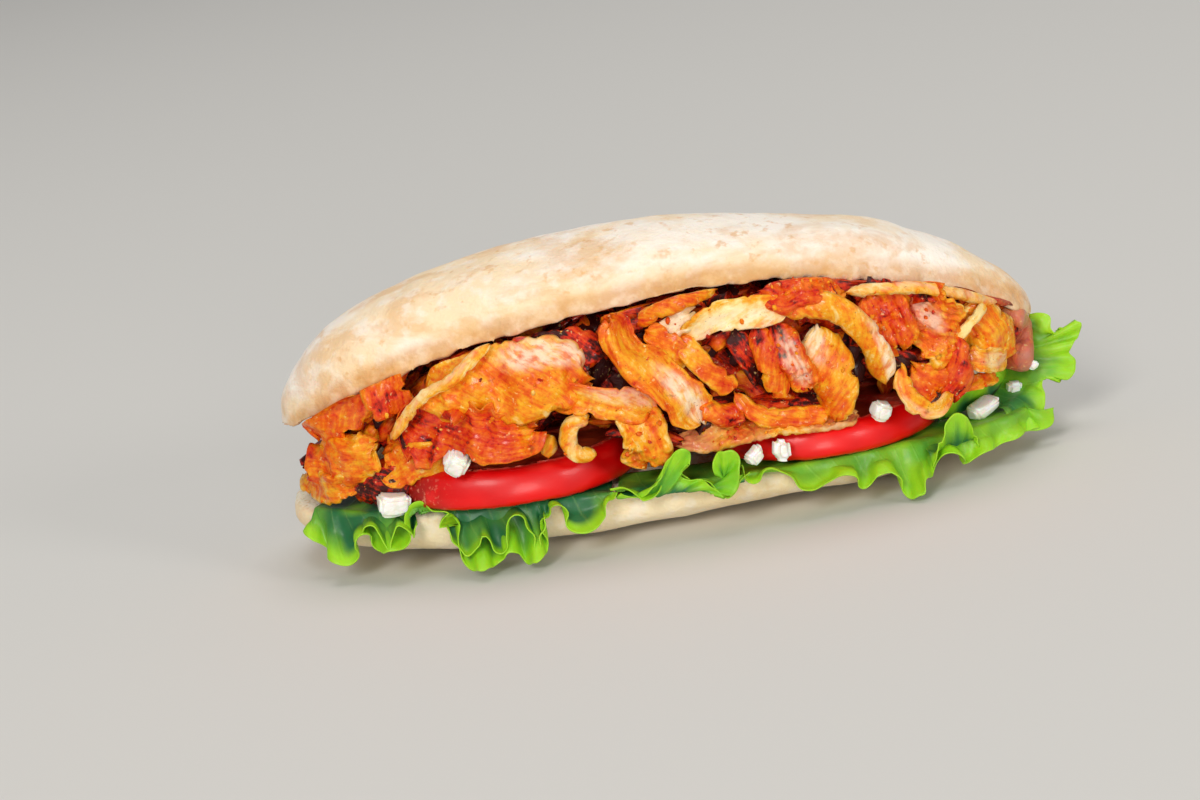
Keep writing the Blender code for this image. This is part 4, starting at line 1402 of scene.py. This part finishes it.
def hangingRails(edge, sheet, look):
    # over the base's rim, close to its side, and out to the hem like a skirt
    x = np.clip(smoothed(edge, 41)[:, 0], -look["widest"], look["widest"])
    y = lipY(x)
    bed = crumbTop(x) + 1.0
    tuck = np.stack([x * 0.93, y + 18, bed - 0.3], 1)
    near = np.stack([x * 0.985, y + 4.5, bed], 1)
    over = np.stack([x, y - 1.6, bed + 0.3], 1)
    fold = over * np.array([0.5, 0.68, 0.5]) + edge * np.array([0.5, 0.32, 0.5])
    return [tuck, near, over, fold, edge], [0.0, 0.22, 0.38, 0.66, 1.0]


def frillRails(edge, sheet, look):
    calm = smoothed(edge, 33)
    x = np.clip(calm[:, 0], -look["widest"], look["widest"])
    bed = crumbTop(x) + 1.2
    tuck = np.stack([x * 0.95, calm[:, 1] + 17, bed], 1)
    near = np.stack([0.7 * x + 0.3 * edge[:, 0], edge[:, 1] + 9, bed + 0.35 * (edge[:, 2] - bed)], 1)
    front = edge + np.array([0, 3.4, 0]) - np.array([0, 0, 0.12]) * (edge[:, 2:] - bed[:, None])
    return [tuck, near, front, edge], [0.0, 0.4, 0.75, 1.0]


def cupRails(edge, sheet, look):
    walked = walkedAlong(smoothed(edge, 41))
    stations = np.linspace(0, 1, 300)
    base, belly = (
        pointsAt(walked / walked[-1], stations, throughKnots(sheet[rail], len(stations)))
        for rail in ("base", "belly")
    )
    return [base, 0.45 * base + 0.55 * belly, belly, edge], [0.0, 0.3, 0.58, 1.0]


railMakers = {"hanging": hangingRails, "frill": frillRails, "cup": cupRails}


def acrossRails(rails, stops, v):
    # the sheet's rows, on a smooth curve through the rails
    grid = np.empty((len(rails[0]), len(v), 3))
    last = len(rails) - 2
    for k, value in enumerate(v):
        i = min(last, int(np.searchsorted(stops, value, side="right") - 1))
        b, c = rails[i], rails[i + 1]
        a = rails[i - 1] if i else 2 * b - c
        d = rails[i + 2] if i < last else 2 * c - b
        grid[:, k] = onCurve(a, b, c, d, (value - stops[i]) / (stops[i + 1] - stops[i]))
    return grid


def leafSheet(sheet, seed, look):
    hem = np.array(sheet["hem"], float)
    total = walkedAlong(hem)[-1]
    columns = int(total / look["column"])
    rows = look["rows"][sheet["kind"]]
    v = np.linspace(0, 1, rows)
    grid = acrossRails(*railMakers[sheet["kind"]](throughKnots(hem, columns), sheet, look), v)
    along = np.gradient(grid, axis=0)
    down = unit(np.gradient(grid, axis=1))
    normal = unit(np.cross(along, down))
    normal *= np.sign(normal[:, :, 2:] - normal[:, :, 1:2] + 1e-6)
    along = unit(along)

    # ruffles: rounded waves that fold over themselves towards the hem
    walked = np.linspace(0, total, columns)
    line = onAxis(walked)
    flat = np.stack([np.repeat(walked, rows), np.tile(v * 26, columns), np.zeros(columns * rows)], 1)

    def alongHem(size, number):
        return lumps(line, size, seed + number)[:, None]

    def allOver(size, number):
        return lumps(flat, size, seed + number).reshape(columns, rows)

    drift = 0.8 * alongHem(23, 0) + 0.12 * allOver(9, 9)
    phase = 2 * math.pi * (walked[:, None] / sheet["period"] + drift)
    height = sheet["ruffle"] * (0.8 + 0.5 * alongHem(21, 1)) * ease(v, *look["ruffled"])
    wave = np.cos(phase) * height
    grid += normal * (wave + look["lift"] * height)[:, :, None]
    grid += along * (look["foldOver"] * np.sin(2 * phase) * height)[:, :, None]

    # small waves along the hem, bumps, and an uneven hem
    waveLength, waveHeight = look["rimWave"]
    bumpSize, bumpHeight = look["blister"]
    small = 2 * math.pi * (walked[:, None] / waveLength + 0.9 * alongHem(11, 4))
    rimWave = np.cos(small) * ease(v, 0.72, 1) * (0.75 + 0.5 * alongHem(12, 5))
    bumps = allOver(bumpSize, 2) * ease(v, 0.2, 0.5)
    grid += normal * (waveHeight * rimWave + bumpHeight * bumps)[:, :, None]
    uneven = sum(amount * alongHem(size, number) for size, amount, number in look["unevenHem"])
    grid += down * (uneven * ease(v, 0.75, 1))[:, :, None]
    grid += normal * (0.25 * ease(v, 0.9, 1))[None, :, None]
    grid[:, :, 2] = np.maximum(grid[:, :, 2], look["lowest"])

    step = np.linalg.norm(np.diff(grid, axis=1), axis=2)
    toHem = np.concatenate([np.cumsum(step[:, ::-1], axis=1)[:, ::-1], np.zeros((columns, 1))], axis=1)
    # painted shade: darker away from the hem, under the filling, and on the inward side of the ruffles
    inward = ease(-wave / max(sheet["ruffle"], 1.0), -0.1, 0.9)
    shaded = ease(toHem, 1.2, 6.0) if sheet["kind"] == "frill" else ease(v, 0.92, 0.5)
    patchy = (0.8 + 0.7 * allOver(11, 8)) * sheet.get("shade", 0.8)
    fan = (walked[:, None] + 9 * (1 - v)) / look["veinGap"] + 0.5 * drift
    branch = np.abs(fan % 1 - 0.5) * 2
    layers = {
        "rim": bell(toHem, 1.0),
        # partly painted light
        "hemward": ease(toHem, 11.0, 2.0) * sheet.get("bright", 1.0),
        "hollow": np.clip((shaded + 0.7 * inward * ease(toHem, 1.5, 6.0)) * patchy, 0, 1),
        "vein": np.clip(1 - branch / 0.12, 0, 1) * ease(toHem, 1.5, 5.0),
    }
    corners = [i * rows + j for i in range(columns - 1) for j in range(rows - 1)]
    return {
        "points": grid.reshape(-1, 3),
        "skin": [(a, a + 1, a + rows + 1, a + rows) for a in corners],
        **{name: layer.ravel() for name, layer in layers.items()},
    }


def makeLeaf(name, sheets, look, finish):
    parts = [leafSheet(sheet, 2 + 3 * number + len(name), look) for number, sheet in enumerate(sheets)]
    piece = newObject("leaf", makeMesh(name, *joined(parts)))
    body = piece.modifiers.new("thickness", "SOLIDIFY")
    body.thickness = look["thick"] * mm
    body.offset = 0
    body.use_rim = True
    made = appliedMesh(piece, name)
    made.shade_smooth()
    addPiece(name + "_leaf", made, finish, [name])
    print(name + ":", len(made.polygons), "faces")


leafSurface = lettuceFinish(lettuceLook)
for name, sheets in leaves.items():
    makeLeaf(name, sheets, lettuceLook, leafSurface)

# Each bit of onion: x, y, z of its middle, its three sides, and its turn, lean and tip in degrees.
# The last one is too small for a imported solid, so it has no node.
onionBits = {
    "onion_dice_1": (-68, -55.6, 37.8, 8.2, 7.2, 7.6, 8, 30, 34),
    "onion_dice_2": (-91, -45, 25.0, 10.5, 8, 6.4, 15, 6, 12),
    "onion_dice_3": (25.5, -56, 23.6, 6.4, 5.0, 5.4, 30, 6, -24),
    "onion_dice_4": (34.5, -57.5, 24.6, 6.2, 5.4, 7.6, 12, -8, 8),
    "onion_dice_5": (68, -50, 29.0, 7.0, 5.6, 5.6, 25, 6, 20),
    "onion_dice_6": (103, -28.5, 17.6, 10.4, 7.4, 6.0, 35, 16, -14),
    "onion_dice_7": (116, -14, 18.0, 5.0, 4.2, 5.2, 20, 10, 10),
    "onion_bit": (123.6, -15, 25.6, 3.2, 2.6, 3.0, 20, 10, 30),
}
onionLook = {
    "uneven": 0.19,  # how far a corner is off, as a share of the width
    "bevel": 0.2,  # as a share of the height
    "rounding": 2,
    "white": srgb(252, 249, 244),
    "shade": srgb(238, 236, 222),
    "clear": srgb(222, 228, 200),
}


def onionFinish(look):
    s = Shader("raw onion")
    layered = s.patches(2.6, 0.38, 0.64, 2, s.stretched((1.0, 0.4, 1.8)))
    base = s.mix(layered, look["white"], look["shade"])
    base = s.over(base, look["clear"], s.patches(7, 0.5, 0.7, 2), 0.5)
    s.paint(base)
    s.bump(2.2, 0.9, 0.4, 0.25, 0.5)
    s.set(roughness=0.3, coat=0.3, coatRoughness=0.15, scatter=0.4, scatterScale=2 * mm)
    return s.material


def onionBit(name, sizes, seed, look):
    # a cut piece of one onion layer: a bent, uneven block with soft edges
    x, y, z, width, depth, height, turn, lean, tip = sizes
    shape = bmesh.new()
    bmesh.ops.create_cube(shape, size=1.0)
    bmesh.ops.scale(shape, vec=(width, depth, height), verts=shape.verts)
    for corner, vertex in enumerate(shape.verts):
        place = np.array([[corner * 5.3, seed * 3.1, axis * 7.7] for axis in range(3)])
        vertex.co += Vector(lumps(place, 2.0, seed)) * look["uneven"] * width
    bmesh.ops.bevel(shape, geom=shape.edges[:], offset=look["bevel"] * height, segments=3, affect="EDGES")
    bmesh.ops.triangulate(shape, faces=shape.faces)
    bmesh.ops.subdivide_edges(shape, edges=shape.edges[:], cuts=3, use_grid_fill=True)
    allAxes = {"use_axis_x": True, "use_axis_y": True, "use_axis_z": True}
    for _ in range(look["rounding"]):
        bmesh.ops.smooth_vert(shape, verts=shape.verts, factor=0.5, **allAxes)
    points, faces = takenApart(shape)
    points[:, 2] += 0.5 * height * ((points[:, 0] / width) ** 2 - 0.1)
    points *= (1 + 0.06 * lumps(points, width * 0.5, seed) + 0.02 * lumps(points, 1.4, seed + 20))[:, None]
    turned = Euler((math.radians(lean), math.radians(tip), math.radians(turn))).to_matrix()
    return makeMesh(name, points @ np.array(turned).T + np.array([x, y, z]), faces, {})


def makeOnion(look):
    finish = onionFinish(look)
    for number, (node, sizes) in enumerate(onionBits.items(), start=1):
        isNode = node in frame["nodes"]
        name = f"onion_{number}" if isNode else node
        addPiece(name, onionBit(name, sizes, number, look), finish, [node] if isNode else ())
    print("onion:", len(onionBits), "pieces")


makeOnion(onionLook)

studio = {
    "floor": srgb(220, 217, 211),
    "floorRadius": 8.0,  # metres, as the lights' sizes and places are
    # place, size, power and colour of each light
    "lights": {
        "key": ((-1.5, -3.5, 2.4), 1.5, 81, (1.0, 0.98, 0.95)),
        "side": ((2.9, -2.8, 1.4), 1.0, 32, (1.0, 0.99, 0.97)),
        "top": ((0.25, 0.5, 4.0), 3.0, 57, (1.0, 1.0, 1.0)),
        "front": ((0.5, -3.9, 0.5), 1.2, 41, (1.0, 0.99, 0.96)),
    },
    "lightsAim": (0, 0, 0.04),
    "room": (0.95, 0.97, 1.0, 1.0),
    "roomStrength": 0.27,
    "target": (8.4, -6.0, 35.2),
    "elevation": 15.0,
    "roll": 10.0,
    "distance": 944.0,
    "lens": 85.0,
    "slide": (-28.0, -3.3),  # keeps the sandwich right of the middle
}


def makeFloor(look):
    shape = bmesh.new()
    bmesh.ops.create_circle(shape, cap_ends=True, segments=96, radius=look["floorRadius"])
    mesh = bpy.data.meshes.new("floor")
    shape.to_mesh(mesh)
    shape.free()
    s = Shader("floor")
    s.surface.inputs["Base Color"].default_value = look["floor"]
    s.set(roughness=0.9, specular=0.2)
    mesh.materials.append(s.material)
    newObject("floor", mesh)


def makeLights(look):
    for name, (place, size, power, colour) in look["lights"].items():
        lamp = bpy.data.lights.new(name, "AREA")
        lamp.shape = "DISK"
        lamp.size = size
        lamp.energy = power
        lamp.color = colour
        light = newObject(name, lamp)
        light.location = place
        aim = Vector(look["lightsAim"]) - Vector(place)
        light.rotation_euler = aim.to_track_quat("-Z", "Y").to_euler()
    room = bpy.data.worlds.new("soft room")
    room.use_nodes = True
    glow = room.node_tree.nodes["Background"].inputs
    glow["Color"].default_value = look["room"]
    glow["Strength"].default_value = look["roomStrength"]
    bpy.context.scene.world = room
    bpy.context.scene.view_settings.view_transform = "Standard"


def makeCamera(look):
    tilt = math.radians(look["elevation"])
    roll = math.radians(look["roll"])
    level = Vector((1, 0, 0))
    back = Vector((0, -math.cos(tilt), math.sin(tilt)))
    up = Vector((0, math.sin(tilt), math.cos(tilt)))
    right = level * math.cos(roll) - up * math.sin(roll)
    over = level * math.sin(roll) + up * math.cos(roll)
    place = (Vector(look["target"]) + Vector(loafPlace)) * mm + back * look["distance"] * mm
    place += (right * look["slide"][0] + over * look["slide"][1]) * mm
    lens = bpy.data.cameras.new("camera")
    lens.lens = look["lens"]
    camera = newObject("camera", lens)
    camera.matrix_world = Matrix.Translation(place) @ Matrix((right, over, back)).transposed().to_4x4()
    bpy.context.scene.camera = camera


makeFloor(studio)
makeLights(studio)
makeCamera(studio)
print("studio: done")
